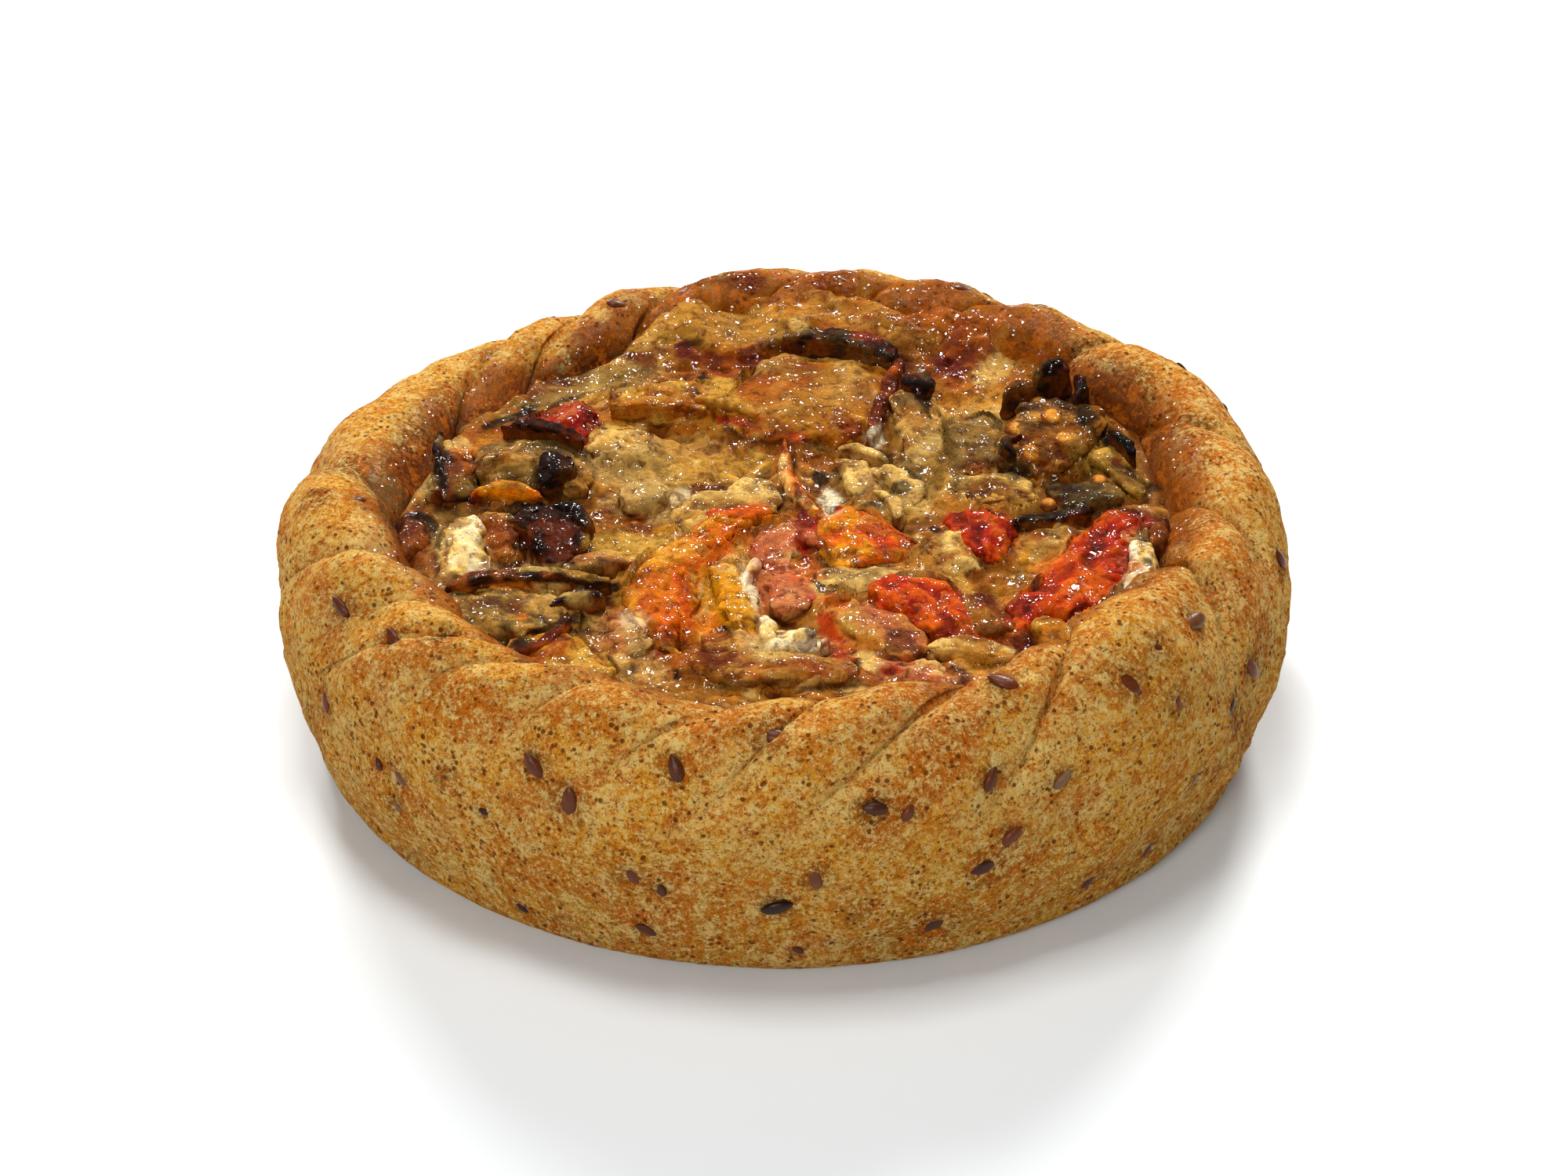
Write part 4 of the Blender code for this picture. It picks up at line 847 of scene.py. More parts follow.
# Paint on the food: x and y as seen at the filling's height, half sizes, turn, colour, strength
# The black and deep patches stand partly for charred food and partly for painted shade in the gaps between
# pieces.
PAINT = table("""
    # back cheese
    -12 58 16 8 0 butter .45; 30 55 16 5 -30 caramel .5; 26.5 44 2.2 4.2 20 blister .95
    46 44 3.6 9 10 blister .8; 33 43.5 2.6 6.5 -28 cream .85; 36 40 5 8 0 cheese .5
    -15 49 1.8 4 5 blister .95; -14 52 1.2 1.6 0 black .7; -5 46 2.6 1.8 20 blister .7
    -1 50.5 2.2 2.6 0 deep .6; -30 49 5 3 30 deep .95; -27 47.5 3 1.6 10 black .9; -34 42 4 5 50 deep .8
    -22.5 46 1.6 4 25 blister .8; -26 40 6 5 40 grey .75; -36 33.5 6.5 2.6 35 grey .85
    -42 27.5 6 1.4 42 black .9; -33 33 4 .8 40 black .7; -10 37 3 3.6 0 butter .8
    13.5 53 2.6 2 0 rose .8; 3 57.5 2 2.6 0 cream .6; 38 51.5 7 2 -20 mauve .35; 42 57 6 2 -20 caramel .5
    22 41 1.4 3 10 grey .6
    # slab and the fold behind it
    1 43 6 3 -15 rust .45; 9 41 6 2.6 -12 olive .45; 8 35 6 5 0 tan .5; 13.5 30 1.8 8 15 rust .75
    -3 33 4 7 0 honey .6; 2 21 2 1.4 0 rose .7; -16 29 8 2 -6 caramel .6; -24 29 4 5 40 honey .5
    -8 26 3 1.2 -25 rose .85; -10.5 27.5 .7 1.8 0 black .7; -5.3 26 .5 .6 0 black .95
    -14 35.2 .8 1.2 20 black .85; -12.6 41 .5 1.8 10 black .9
    4.8 49 .5 .5 0 black .9; -7 31 7 2 -25 butter .4; 14 21 1.5 3.2 0 white .55; 2 28 8 6 0 olive .3
    15.5 14 1.2 2 0 black .7
    # stub, grey flesh, seedy piece
    19.5 32 3.2 3.4 0 plum .85; 21.5 31 .9 5 10 black .95; 19 26 2.8 4 0 seedy .6; 29 20 6 7 0 grey .5
    22.5 16 5 8 0 grey .5; 36.5 30.5 2.6 2.4 20 darkskin .85; 43 33 3.2 3.6 0 burnt .9
    46 27.5 1.8 3.6 0 char .95; 38 24 3 1.4 0 char .8; 34.5 11 2.4 4 0 char .95; 34 16 1.6 1.6 0 black .9
    40 15 2 2 0 plum .8; 46 14 2.4 5 25 olive .8; 50 20 1.8 4 10 black .9; 51 10 1.6 3.6 20 black .85
    54 5.5 1.8 1.6 0 black .8; 29 11 2.4 2.6 0 brown .7; 31.5 13 1.8 1.8 0 plum .6; 26 7 1.6 4 0 plum .5
    44 3 3.6 3 0 dusk .9; 42.5 4.5 2.2 1.6 0 burnt .7; 47.5 -2 3 2.4 0 dusk .7; 50 7 2.6 6 25 olive .7
    # centre
    -27 9 6 5 0 golden .5; -27 12 1 2.4 10 rust .85; -29 11 1.4 1.6 0 plum .7; -19.5 3 3.8 3.6 0 clear .8
    -15.5 3.5 1.8 2.6 0 white .8; -18 -2.5 2.4 2.8 0 clear .7; -17.5 -7 2.2 2 0 gold .45
    -18 -10.5 2.4 1.8 0 green .6; -13 9.5 5 3 -20 brown .45; -8 12.5 4 3 0 honey .5
    -14 18 5 4 10 pale .5; -4 15 1.8 4 10 butter .4; -3.5 9 1 3 -20 dusk .6; 5.5 9 1 2.4 10 black .85
    17.8 5 1.8 2.6 -30 black .8; 6 14 3.4 2.8 0 honey .6; 7 2 1.6 3 0 white .85; 7 -2 1.8 1.4 0 white .6
    2 4.5 .7 2.6 0 black .7; 14 10 2.6 4 30 onion .5; 20.5 0 2 2.4 0 cream .5; 22 6 1.4 5 0 dusk .35
    -26 -4.5 3.6 3.6 0 seedy .6; -23.6 3 1.2 3.4 0 brown .6; -24 -10 4.4 4 0 olive .5
    -11 -8 3 2 20 grey .5
    # left side
    -57 6 .9 8 2 deep .95; -55.5 13 2.6 1.8 0 rose .8; -53.5 7 2 5 0 clear .75; -51 14 1.5 1.6 0 char .9
    -50.5 9 1.3 6 0 char .85; -48 10 1.6 3 20 plum .7; -47 6 2 4 0 olive .6; -49.5 18.5 3 2.6 0 cream .6
    -47 16 3 1.4 -20 amber .6; -34 17 5 2 -25 dusk .8; -44 14.5 2.4 3 30 grey .7
    -31.5 12 1.4 4 15 plum .7; -34.5 8 2.3 4.2 -8 char 1; -40 3 4.4 1.2 0 amber .9
    -41 5.5 4.4 1.2 0 tan .6; -39.5 .4 5 1 0 black .85; -36 -2 5 3 -20 char .8
    -53.5 -3.2 1.6 1.4 0 black .95; -51.5 -5.5 .8 3 15 black .8; -35.5 -13 1.2 3 15 black .85
    -38 -9 1 3 30 deep .8; -49.8 -17 .8 4 8 black .8; -46 -11 2.6 6 15 cream .6; -42 -9 1 5 30 brown .7
    -55.5 -7 3 4.4 0 plum .75; -52 -14 2 5 20 brown .6; -25 -16.5 5 1.8 5 mauve .8
    -33 -18 5 1.6 0 cream .5; -30 -14.5 1.6 1.6 0 plum .6; -22 -21 3 6 -30 golden .6
    # front left
    -27 -23 3.4 1.9 0 char .95; -33 -22 5 .9 3 burnt .8; -43 -22.2 1.4 .7 0 black .95
    -41 -24.8 5.5 .6 4 black .75; -33 -24 2.6 1.4 0 cream .6; -38 -23.5 4 1 0 amber .5
    -29 -26.5 2 2 0 cream .5; -28.5 -31.5 2 1.8 0 burnt .95; -32 -34 4 .9 25 burnt .9
    -37 -37 .9 2 40 rust .6; -36.8 -38 1.4 1.9 -30 black 1; -41 -40 .9 2.4 -10 black .7
    -39.5 -43 .9 3 -20 rust .7; -40.5 -45.3 1.6 .7 -10 black .85; -47.5 -36 1 6 15 plum .8
    -46.5 -31 .8 4 5 black .6; -44 -31 1.6 2.4 0 olive .6; -36.5 -31 .7 1.4 20 amber .8
    -24 -36 2.2 4.5 -15 mauve .5; -21 -32 2.6 2.4 0 white .35; -20 -41 1.4 4 0 grey .5
    -18.5 -45.5 2.6 3 0 cream .4; -20.5 -46 1 3 15 dusk .5; -14.6 -46.4 .8 1.9 10 black .95
    -18.5 -29 1.6 3 0 scarlet .7; -22 -26 2 3 0 butter .5; -11 -40 1 2.4 15 rust .7
    -17.2 -38 .6 3.4 -10 scarlet .6
    # middle front: tomato sauce, curd, pink cheese
    -11 -13 5 8 -25 orange .85; -16 -27 4 9.5 12 orange .9; -7 -4.5 5.5 2.6 38 orange .85
    -8 -27 2.8 6.5 5 gold .85; -10.5 -33 2 4 10 amber .8; -19 -25 1.4 5 15 scarlet .6
    -2 -18 3.2 12 0 pink .7; 1 -9 3 5 0 pink .7; 3 -11 1.4 3 10 scarlet .8; .5 -25 3.6 7 0 pink .7
    -4.5 -23 .8 5 12 white .75; -2.5 -36 1.4 4.4 -8 cream .85; -1 -41 3 1.6 10 cream .75
    3 -38.8 1.8 1.5 0 white .95; 4 -35.5 1.2 1.4 0 deep .8; 7 -35 2 5.5 8 tomato .9
    7.5 -27.5 2.4 2.6 0 orange .7; 8.5 -40 1.4 4 -10 rose .6; 6.5 -24.5 1.2 1.2 0 plum .8
    3.5 -19 2.4 3.5 0 orange .5; -7 -17 3 2.4 0 cream .5; -9 -22 2.2 5 20 gold .6
    -4 -1 2.6 2 30 orange .7; 4 -45 5 1.6 -5 caramel .5; -5 -48.5 6 1.2 0 burnt .6
    6 -49.6 4 1 -5 burnt .75; 4 -42 4 1.4 -10 tan .5; -8 -48 2 1.2 0 olive .5
    # right front
    11.7 -43 1.3 3 0 cream .9; 17 -42 1 1 0 scarlet .6; 26 -42 6 2.6 -12 cheese .8
    23.8 -44.8 2 .6 -25 deep .85; 10.5 -34 2.6 5 10 butter .6; 13 -32 3 3 0 pink .6
    11 -38.5 2.4 2.4 0 amber .5; 27.5 -33.5 2.8 4.6 0 seedy .8; 28.5 -34.5 1.6 2.6 0 plum .6
    27 -27 2.2 2 0 plum .4; 33 -38.5 2 2.6 0 deep .8; 30.5 -35 1 3 0 deep .7; 37.5 -39 2 5.4 -8 golden .9
    36 -48 1.8 2.6 0 burnt .75; 38 -30.5 2.6 2 0 deep .85; 32.5 -30 1.2 4 -15 scarlet .7
    30.5 -18 1.8 5 0 seedy .7; 27.5 -22 2 4 0 brown .6; 25.5 -17.5 2.6 2 0 cream .5
    22.2 -6.8 1 1.4 30 black .9; 17 -14 3 2.4 0 tan .6; 19 -19 2 1.6 0 tan .5; 9 -4 2 3 0 amber .6
    13 -8 2 2.4 0 rose .6; 17.5 -11 1.4 2 0 scarlet .6; 3.5 -14 1 3 0 scarlet .6
    29.5 -4.5 2.6 1.2 -10 amber .7; 29 -14 1 2 0 scarlet .6; 38 -14 4 3 10 pale .6
    35.3 -15.5 .6 2.4 5 gold .9; 36.3 -17.2 .9 .5 0 black .6; 43 -4 1.6 1 0 deep .9
    51.5 -16 .7 1.4 10 black .9; 50 -5 3.6 3 30 scarlet .8; 47 -18 3 5 -15 scarlet .7
    40 -17 3 5 -30 orange .6; 40 -20.5 3.4 .8 38 scarlet .7; 42 -24.5 3 2 0 mauve .3
    57 -23 2.2 4.4 -10 golden .9; 55.8 -14 2.6 5 5 plum .8
    35.5 -6.8 2 .9 25 char .95; -22 12 7 8 0 clear .75; -20 3 7 5 10 clear .7; -12 11 8 4.5 10 butter .55
    -20 -12 9 4 -15 butter .75; -27 -19 5 2.5 0 butter .5
""")
PLAN_LEVEL = 34.0
PLAN_LEAN = 1.54


def plan_place(points):
    """Where points lie in plan as the photograph sees them at the filling's height."""
    return points[:, 0], points[:, 1] + PLAN_LEAN * (points[:, 2] - PLAN_LEVEL)


def apply_paint(points, tint, wet, strength=1.0):
    """Tint and wetness with the ragged patches of PAINT on them; the dark ones are drier."""
    x, y = plan_place(points)
    x = x + 0.9 * rough(points, 3.4, 71, 3)
    y = y + 0.9 * rough(points, 3.4, 83, 3)
    ragged = 0.25 * rough(points, 1.3, 97, 2)
    for px, py, rx, ry, turn, name, share in PAINT:
        near = (np.abs(x - px) < 1.6 * max(rx, ry)) & (np.abs(y - py) < 1.6 * max(rx, ry))
        if not near.any():
            continue
        angle = math.radians(turn)
        u = (x[near] - px) * math.cos(angle) + (y[near] - py) * math.sin(angle)
        v = (y[near] - py) * math.cos(angle) - (x[near] - px) * math.sin(angle)
        gap = np.hypot(u / rx, v / ry) + ragged[near]
        weight = (strength * share * step_up(1.2, 0.7, gap))[:, None]
        tint[near] = tint[near] * (1.0 - weight) + ink(name) * weight
        if name in ("char", "burnt", "black"):
            wet[near] = wet[near] * (1.0 - 0.5 * weight[:, 0])
    return tint, wet


# Looks of the pieces: base, light and dark colour, streaks along, blotch size, wetness, relief, material,
# slot, and how far the cheese climbs and covers them
# The light colour makes pale blotches and is also painted on each piece's crests as a highlight.
Look = namedtuple("Look", "base light dark streak blotch wetness bumps coat slot climb cover")
LOOKS = {row[0]: Look(*row[1:]) for row in table("""
    slab golden pale caramel .3 5 .85 .3 flesh golden .7 .55
    skin skin dusk black .5 3 .9 .22 peel skin .4 0
    rust rust caramel deep .6 3 .8 .25 flesh skin .4 0
    golden golden butter caramel .5 4 .85 .4 flesh golden .75 .6
    tan tan cream brown .6 3 .75 .35 flesh golden .7 .4
    grey grey tan dusk .5 3 .7 .35 flesh aubergine .6 .25
    seedy seedy tan burnt .3 2.4 .75 .6 flesh aubergine .5 0
    olive olive butter brown .9 2 .75 .4 flesh aubergine .6 .3
    fibrous fibrous cream olive 1 2 .8 .45 flesh aubergine .7 .35
    dusk dusk grey char .6 1.6 .6 .5 flesh aubergine .4 0
    tomato tomato orange scarlet .9 4 .95 .45 fruit tomato .55 0
    orange orange gold tomato .7 4 .95 .45 fruit amber .65 .15
    flap flap butter pink .6 3 .9 .3 fruit tomato .75 .35
    amber amber gold orange .7 4 .95 .35 fruit amber .8 .35
    gold gold butter amber .7 3 .95 .35 fruit amber .75 .4
    pink pink cream rose .6 2 .9 .45 fruit tomato .65 .25
    rose rose pink scarlet .7 3 .9 .4 fruit tomato .55 .1
    peach peach cream orange .6 2.5 .9 .2 fruit tomato .7 .15
    plum plum brown burnt .6 2.4 .8 .35 peel tomato .55 .05
    clear clear cream green .7 3 .95 .2 onion onion .75 .4
    onion onion cream green .9 2.6 .9 .3 onion onion .65 .3
    cream cream white tan .9 2.6 .85 .3 onion onion .65 .35
    layers layers butter caramel 1.2 2.6 .95 .35 onion onion .55 .1
    green green pale dusk .4 2.4 .7 .45 flesh aubergine .5 .2
    char char burnt black .4 1.6 .7 .35 peel skin .4 0
    ember ember gold deep .8 2 .9 .3 fruit amber .4 0
    darkskin darkskin plum black 1 2 .8 .5 peel skin .4 0
    brown brown tan rust .7 2.4 .8 .4 flesh aubergine .7 .4
    burnt burnt brown char .7 2.4 .75 .45 peel skin .4 0
    pale pale cream olive .4 3 .85 .3 flesh golden .8 .7
    mauve mauve clear plum .5 3 .9 .25 onion onion .8 .5
    curd curd white cream .2 2 .8 .4 onion cheese .6 0
""")}
ROUND_LOOKS = ("tomato", "orange", "amber", "gold", "rose", "pink", "peach", "plum", "curd", "char", "ember")
JAGGED_LOOKS = ("char", "burnt", "darkskin", "green", "seedy", "skin", "rust")
STAINING_LOOKS = ("skin", "char", "darkskin", "rust")
# How much of the paint a look takes, where that is less than most
PAINT_SHARE = {"tomato": 0.3, "orange": 0.5, "rose": 0.5, "amber": 0.5, "char": 0.4, "skin": 0.45}
MOST_PAINT = 0.9

# Filling
FILL_RINGS = 190
FILL_COLUMNS = 500
SUNK_DEPTH = 2.0
CRUST_CLEARANCE = 0.3
CREEP = 1.7


def piece_gap(row, x, y):
    """How far places in plan lie outside a piece's outline, and how high its top is there."""
    px, py, top, length, width, depth, turn, taper, bend, rise, power = row[:11]
    angle = math.radians(turn)
    run = (x - px) * math.cos(angle) + (y - py) * math.sin(angle)
    along = 2.0 * run / length
    inside = np.clip(along, -1.0, 1.0)
    aside = (y - py) * math.cos(angle) - (x - px) * math.sin(angle) - bend * (1.0 - 2.0 * inside * inside)
    half = 0.5 * width * (1.0 + taper * inside)
    reach = (np.abs(along) ** power + np.abs(aside / half) ** power) ** (1.0 / power)
    gap = (reach - 1.0) * 0.5 * min(width * 1.2, length)
    crown = np.clip(1.0 - np.clip(reach, 0.0, 1.0) ** 3.0, 0.0, 1.0) ** 0.4
    return gap, top - 0.5 * depth + 0.5 * depth * crown + 0.5 * rise * inside


def fill_grid():
    """Rings from the middle of the top out to the crust and down, and how far out each point could lie."""
    edges = []
    for i in range(FILL_COLUMNS):
        azimuth = 360.0 * i / FILL_COLUMNS - 180.0
        section = blend(EDGE_SECTION, BACK_SECTION, back_share(azimuth))
        edge = crust_point(azimuth, section, -CRUST_CLEARANCE)
        edges.append((azimuth, edge.xy.length, edge.z))
    rows = []
    for ring in range(1, FILL_RINGS + 1):
        share = (ring / FILL_RINGS) ** 0.8
        row = []
        for azimuth, reach, height in edges:
            radius = reach * share
            turn = math.radians(azimuth)
            level = blend(fill_height(radius, azimuth), height, smooth(0.94, 1.0, share))
            row.append((radius * math.cos(turn), radius * math.sin(turn), level))
        rows.append(row)
    rows.append([(x, y, z - SUNK_DEPTH) for x, y, z in rows[-1]])
    return np.array(rows), np.tile([edge[1] for edge in edges], len(rows))


def cheese_relief(flat, warped, back):
    """Lumps, wrinkles and bubbles of the baked cheese, wavier at the back."""
    bubble, _, chance = cells(warped, 2.6, 57)
    wrinkle = ridged(warped, 3.6, 63) - 0.6
    relief = 0.75 * rough(flat, 6.5, 23, 3) + 0.75 * wrinkle + 0.28 * rough(flat, 1.3, 77, 3)
    relief += 0.45 * step_up(0.5, 0.1, bubble) * (chance > 0.7) * (0.4 + 0.6 * back)
    return relief + 1.5 * back * rough(flat, 8.5, 91, 2)


def cheese_tint(flat, relief, back, outward, small):
    """Butter, caramel and olive patches, painted shade in the low places of the relief, browner at the back
    and by the crust.
    """
    patch = rough(flat, 8.0, 61, 3)
    other = rough(flat, 5.0, 65, 3)
    tint = dye(ink("cheese"), "butter", 0.7 * step_up(0.0, 0.7, patch))
    tint = dye(tint, "caramel", 0.7 * step_up(0.1, 0.9, -patch + 0.4 * small))
    tint = dye(tint, "olive", 0.7 * (1.0 - back) * step_up(0.15, 0.7, other + 0.3 * small))
    tint = dye(tint, "tan", 0.6 * (1.0 - back) * step_up(0.1, 0.6, -other + 0.3 * small))
    tint = dye(tint, "cream", 0.75 * step_up(0.35, 0.9, small + 0.4 * patch) * (1.0 - 0.2 * back))
    tint = dye(tint, "honey", 0.5 * back)
    tint = dye(tint, "caramel", 0.85 * back * step_up(-0.1, 0.5, small - 0.5 * patch))
    tint = dye(tint, "blister", 0.75 * back * step_up(0.55, 1.0, small - 0.5 * patch))
    # Painted shade: rust in the hollows, where the relief is low.
    tint = dye(tint, "rust", 0.85 * (1.0 - 0.4 * back) * step_up(0.05, -0.5, relief))
    return dye(tint, "rust", 0.8 * step_up(0.955, 0.995, outward) * (1.0 - back))


def hold_pieces(flat, warp, ground, small, tint):
    """How high the cheese creeps up each piece, and the tint with the stain round it and painted shade in
    the seam at its foot.
    """
    lift = np.zeros(len(flat))
    ragged = 1.0 + 0.45 * rough(flat, 4.0, 81, 2)
    over = rough(flat, 4.5, 87, 3)
    for row in MORSELS.values():
        look = LOOKS[row.look]
        gap, height = piece_gap(row, flat[:, 0] + 0.8 * warp[:, 0], flat[:, 1] + 0.8 * warp[:, 1])
        near = gap < 4.0 * CREEP
        room = np.maximum(height.max() - ground, 0.3) * look.climb * ragged
        fillet = room * np.exp(-np.maximum(gap, 0.0) / CREEP)
        sink = 0.9 - 1.5 * look.cover * step_up(-0.1, 0.7, over)
        under = np.minimum(fillet + np.maximum(-gap, 0.0), np.maximum(height - sink - ground, 0.0))
        lift = np.where(near, np.maximum(lift, np.where(gap > 0.0, fillet, under)), lift)
        closeness = 0.75 * np.exp(-np.maximum(gap, 0.0) / 1.1) * near
        tint = dye(tint, look.dark if row.look in STAINING_LOOKS else look.base, closeness)
        # Painted shade: a dark line in the seam where each piece meets the cheese.
        painted_seam_shade = np.exp(-((gap - 0.1) / 0.75) ** 2) * step_up(-0.2, 0.3, over + 0.3 * small)
        tint = dye(tint, "deep" if row.look in ROUND_LOOKS else "burnt", 0.85 * painted_seam_shade)
    return lift, tint


def make_filling():
    """The baked cheese, which fills the crust and creeps up each piece that it holds."""
    grid, limit = fill_grid()
    points = grid.reshape(-1, 3)
    flat = points * np.array([1.0, 1.0, 0.0])
    radius = np.hypot(points[:, 0], points[:, 1])
    azimuths = np.degrees(np.arctan2(points[:, 1], points[:, 0]))
    back = np.array([back_share(azimuth) for azimuth in azimuths]) * step_up(36.0, 46.0, radius)
    free = step_up(0.0, 3.0, radius) * step_up(1.0, 0.96, radius / limit)
    warp = np.stack([rough(flat, 6.0, 5, 2), rough(flat, 6.0, 15, 2), 0.0 * radius], axis=-1)
    small = rough(flat, 2.2, 67, 3)
    ground = points[:, 2].copy()
    relief = cheese_relief(flat, flat + 2.0 * warp, back)
    tint = cheese_tint(flat, relief, back, radius / limit, small)
    lift, tint = hold_pieces(flat, warp, ground, small, tint)
    points[:, 2] = ground + (relief + lift) * free
    tint, wet = apply_paint(points, tint, np.full(len(points), 0.9))
    filling = build_piece("baked_cheese", points, grid_faces(len(grid), FILL_COLUMNS), tint, wet,
                          wet_material("cheese_melt", 0.10, "amber", 0.8),
                          [list(range(FILL_COLUMNS))[::-1]])
    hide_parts("filling")


# Pieces of vegetable and cheese
PIECE_STEP = 0.34
STATIONS = (28, 120)
RING_POINTS = (36, 110)
SOFT_WARP = 1.0
SQUARE_POWER = 3.4
FULL_WARP_WIDTH = 6.0


def piece_grid(row, order, size):
    """Rings of a piece from end to end, full on top and warped, and the rings' places from -1 to 1."""
    plump = row.look in ROUND_LOOKS
    stations = int(np.clip(row.length / PIECE_STEP, *STATIONS))
    ring = int(np.clip(2.0 * (row.width + row.depth) / PIECE_STEP, *RING_POINTS))
    ends = -np.cos(np.pi * (np.arange(stations) + 0.5) / stations)
    even = (2.0 * np.arange(stations) + 1.0) / stations - 1.0
    places = 0.55 * ends + 0.45 * even
    form = row if plump else row._replace(power=max(row.power, SQUARE_POWER))
    grid = np.array([[tuple(morsel_point(form, float(place), math.tau * i / ring)) for i in range(ring)]
                     for place in places])
    points = grid.reshape(-1, 3)
    middle = row.top - 0.5 * row.depth
    share = np.clip((points[:, 2] - middle) / (0.5 * row.depth), -1.0, 1.0)
    fuller = np.sign(share) * np.abs(share) ** (0.66 if plump else 0.5)
    points[:, 2] += (fuller - share) * 0.5 * row.depth
    jagged = 0.85 if row.look in JAGGED_LOOKS else 0.55
    for axis in range(2):
        points[:, axis] += SOFT_WARP * size * rough(points, 5.0, 181 + axis + 2 * order, 3)
        points[:, axis] += jagged * size * rough(points, 2.2, 301 + axis + 2 * order, 2)
    points[:, 2] += 0.7 * size * rough(points * np.array([1.0, 1.0, 0.2]), 6.0, 191 + order, 2)
    return points.reshape(grid.shape), places


def outward_normals(grid):
    """Directions out of a closed piece at its points."""
    normals = -grid_normals(grid).reshape(-1, 3)
    centre = grid.mean(axis=1, keepdims=True)
    if np.sum((grid - centre).reshape(-1, 3) * normals) < 0:
        normals = -normals
    return normals


def piece_relief(row, order, points, size, lumps):
    """Fibres, wrinkles and pleats along a piece, in millimetres, and its fibres alone."""
    look = LOOKS[row.look]
    turn = math.radians(row.turn)
    run = points[:, 0] * math.cos(turn) + points[:, 1] * math.sin(turn)
    side = points[:, 1] * math.cos(turn) - points[:, 0] * math.sin(turn)
    wrap = side + 0.9 * rough(points, 5.0, 201 + order, 2)
    stripes = np.stack([run * 0.22, wrap, points[:, 2] * 0.8], axis=-1)
    fibre = rough(stripes, 1.7, 211 + order, 3)
    folds = ridged(stripes, 2.4, 216 + order)
    relief = look.bumps * (0.7 * lumps + 0.8 * look.streak * fibre + 0.9 * look.streak * (folds - 0.6)
                           + 0.45 * rough(points, 1.0, 241 + order, 2))
    if look.coat in ("fruit", "peel"):
        pleats = ridged(np.stack([run * 0.20, wrap, 0.0 * run], axis=-1), 4.6, 251 + order, 2)
        relief += 0.8 * size * (pleats - 0.62)
    return relief, fibre


def piece_tint(look, mixed, upward, height):
    """Colour by the blotches and fibres, with painted shade on the sides and in hollows and a painted
    highlight on crests.
    """
    fruit = look.coat == "fruit"
    tint = dye(ink(look.base), look.light, 0.85 * step_up(0.05, 0.7, mixed))
    tint = dye(tint, look.dark, 0.85 * step_up(0.05, 0.7, -mixed))
    # Painted shade where the surface faces sideways or down.
    tint = dye(tint, "deep" if fruit else "brown", 0.6 * step_up(0.35, -0.1, upward))
    # Painted shade in the low places of the relief.
    tint = dye(tint, "deep" if fruit else "rust", 0.70 * step_up(0.05, -0.5, height))
    # Painted highlight: the light colour on the crests of the relief.
    return dye(tint, look.light, 0.6 * step_up(0.1, 0.7, height))


def make_piece(name, row, order, coats):
    """One piece with its relief, blotches and paint."""
    look = LOOKS[row.look]
    size = min(1.0, row.width / FULL_WARP_WIDTH)
    grid, places = piece_grid(row, order, size)
    stations, ring = grid.shape[:2]
    points = grid.reshape(-1, 3)
    normals = outward_normals(grid)
    lumps = rough(points, 3.2, 231 + order, 3)
    relief, fibre = piece_relief(row, order, points, size, lumps)
    mixed = rough(points, look.blotch, 221 + order, 3) + 0.7 * look.streak * fibre
    soft = step_up(0.0, 0.12, 1.0 - np.abs(np.repeat(places, ring)))
    points = points + normals * (relief * (0.3 + 0.7 * soft))[:, None]
    tint = piece_tint(look, mixed, normals[:, 2], relief / (look.bumps + 0.1))
    wet = np.full(len(points), look.wetness) * (0.85 + 0.15 * np.clip(lumps, -1.0, 1.0))
    tint, wet = apply_paint(points, tint, wet, PAINT_SHARE.get(row.look, MOST_PAINT))
    caps = [list(range(ring))[::-1], list(range(len(points) - ring, len(points)))]
    return build_piece(name + "_roast", points, grid_faces(stations, ring), tint, wet, coats[look.coat],
                       caps)


def make_pieces():
    coats = {
        "flesh": wet_material("roast_flesh", 0.08, "amber", 0.7),
        "peel": wet_material("roast_skin", 0.0, "amber", 0.9, 0.8),
        "fruit": wet_material("roast_tomato", 0.10, "orange", 1.0, 0.8),
        "onion": wet_material("soft_onion", 0.18, "butter", 1.0, 0.7),
    }
    for order, (name, row) in enumerate({**MORSELS, **EXTRAS}.items()):
        piece = make_piece(name, row, order, coats)
        if name in MORSELS:
            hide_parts(name)


# Round seeds on the seedy piece, then two loose ones beside it: x, y, height, turn, tilt
DISCS = table("""
    35.4 17.2 37.4 10 20; 40.8 19.4 38.4 60 25; 42.4 14 37.6 80 10; 37.2 11.4 36.6 40 30
    46.9 3.4 36.4 80 15; 39 -2.2 35.6 80 10
""")
DISC_SIZE = 3.7
LOOSE_DISC_SIZE = 2.8
ON_THE_PIECE = 4


def make_discs():
    """Round seeds with a dark edge and a sunken middle."""
    parts = []
    for number, (x, y, z, turn, tilt) in enumerate(DISCS):
        lean = math.radians(tilt)
        normal = np.array([0.25 * math.sin(lean), -math.sin(lean), math.cos(lean)])
        along = np.array([math.cos(math.radians(turn)), math.sin(math.radians(turn)), 0.0])
        size = DISC_SIZE if number < ON_THE_PIECE else LOOSE_DISC_SIZE
        middle = np.array([x, y, z])
        points, faces = lens(middle, normal / np.linalg.norm(normal), along,
                             size * 1.08, size * 0.92, 1.3, 21, 28)
        reach = np.linalg.norm(points - middle, axis=1) / (0.5 * size)
        points[:, 2] -= 0.28 * step_up(0.55, 0.0, reach)
        share = step_up(0.55, 0.85, reach) * 0.9 + 0.4 * step_up(0.4, 0.1, reach)
        parts.append((points, faces, dye(ink("disc"), "rust", share)))
    points, faces, tint = gather(parts)
    tint = tint * (1.0 + 0.35 * rough(points, 1.4, 301, 3)[:, None])
    build_piece("round_seeds", points, faces, tint, np.full(len(points), 0.95),
                wet_material("round_seed", 0.2, "gold", 1.0, 0.4))


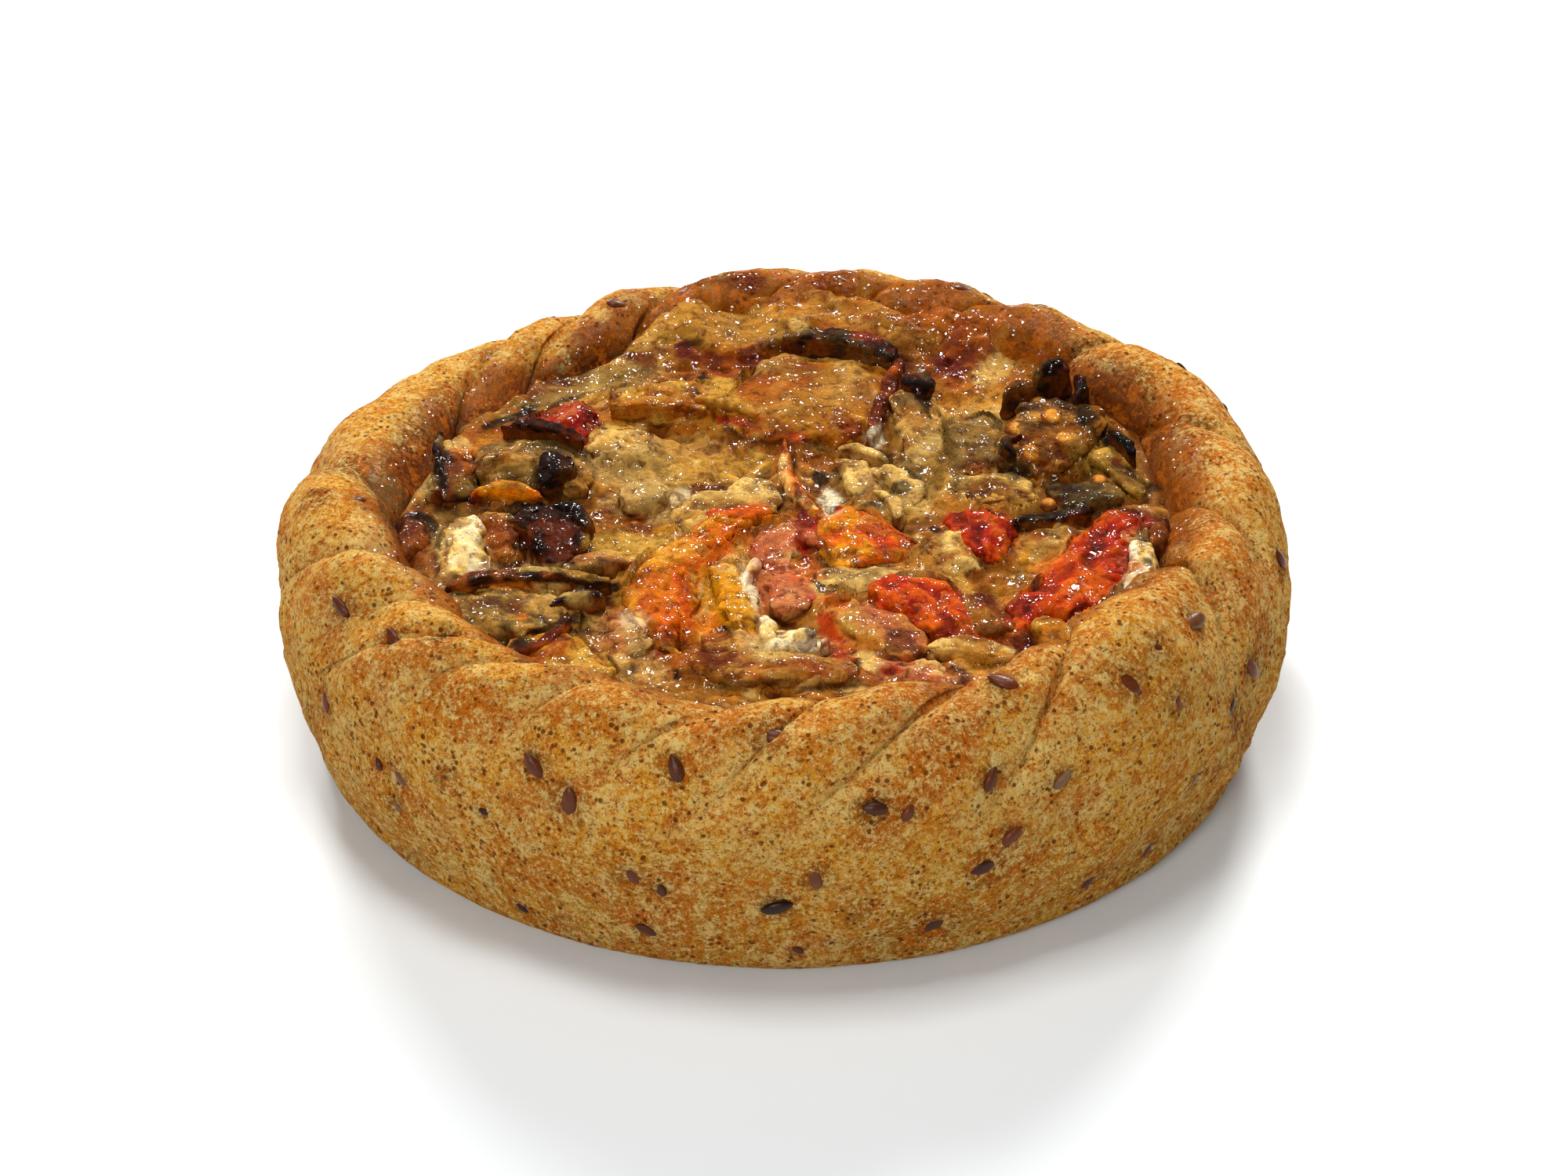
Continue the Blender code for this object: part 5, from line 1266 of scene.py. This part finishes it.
# Camera, light and floor, in metres and watts
EYE = (0.0, -0.4746, 0.3071)
PITCH = 31.18
YAW = -0.015
FLOOR_SIDE = 6.0
AIM = Vector((0.0, 0.0, 0.02))
LAMPS = [
    ("overhead", (-0.06, -0.02, 0.85), (0.30, 0.22), 4.0),
    ("spark_left", (-0.32, 0.72, 0.50), (0.18, 0.18), 6.4),
    ("spark_right", (0.28, 0.68, 0.56), (0.18, 0.18), 6.8),
    ("front", (-0.22, -0.75, 0.46), (0.26, 0.22), 3.3),
]


def make_camera():
    data = bpy.data.cameras.new("camera")
    data.lens = 85.0
    data.sensor_width = 36.0
    data.clip_start = 0.01
    data.clip_end = 20.0
    camera = stand("camera", data)
    camera.location = EYE
    camera.rotation_euler = (math.radians(90.0 - PITCH), 0.0, math.radians(YAW))
    bpy.context.scene.camera = camera


def make_world():
    """A dim even sky, which the wet food doesn't mirror."""
    world = bpy.data.worlds.new("studio")
    world.use_nodes = True
    background = world.node_tree.nodes["Background"]
    background.inputs["Color"].default_value = (0.98, 0.99, 1.0, 1.0)
    background.inputs["Strength"].default_value = 0.17
    world.cycles_visibility.glossy = False
    bpy.context.scene.world = world
    bpy.context.scene.view_settings.view_transform = 'Standard'


def make_floor():
    side = FLOOR_SIDE
    mesh = bpy.data.meshes.new("floor")
    mesh.from_pydata([(-side, -side, 0.0), (side, -side, 0.0), (side, side, 0.0), (-side, side, 0.0)],
                     [], [(0, 1, 2, 3)])
    floor = stand("floor", mesh)
    n = Nodes("floor_white")
    n.put("Base Color", (0.76, 0.78, 0.78, 1.0))
    n.put("Roughness", 0.7)
    n.put("Specular IOR Level", 0.1)
    n.put("Emission Color", (0.96, 1.0, 1.0, 1.0))
    n.put("Emission Strength", 0.06)
    mesh.materials.append(n.material)


def make_lights():
    for name, place, size, power in LAMPS:
        data = bpy.data.lights.new(name, 'AREA')
        data.shape = 'RECTANGLE'
        data.size, data.size_y = size
        data.energy = power
        lamp = stand(name, data)
        lamp.location = place
        lamp.rotation_euler = (AIM - Vector(place)).to_track_quat('-Z', 'Y').to_euler()


seeds = make_crust()
make_linseeds(seeds)
make_filling()
make_pieces()
make_discs()
make_camera()
make_world()
make_floor()
make_lights()
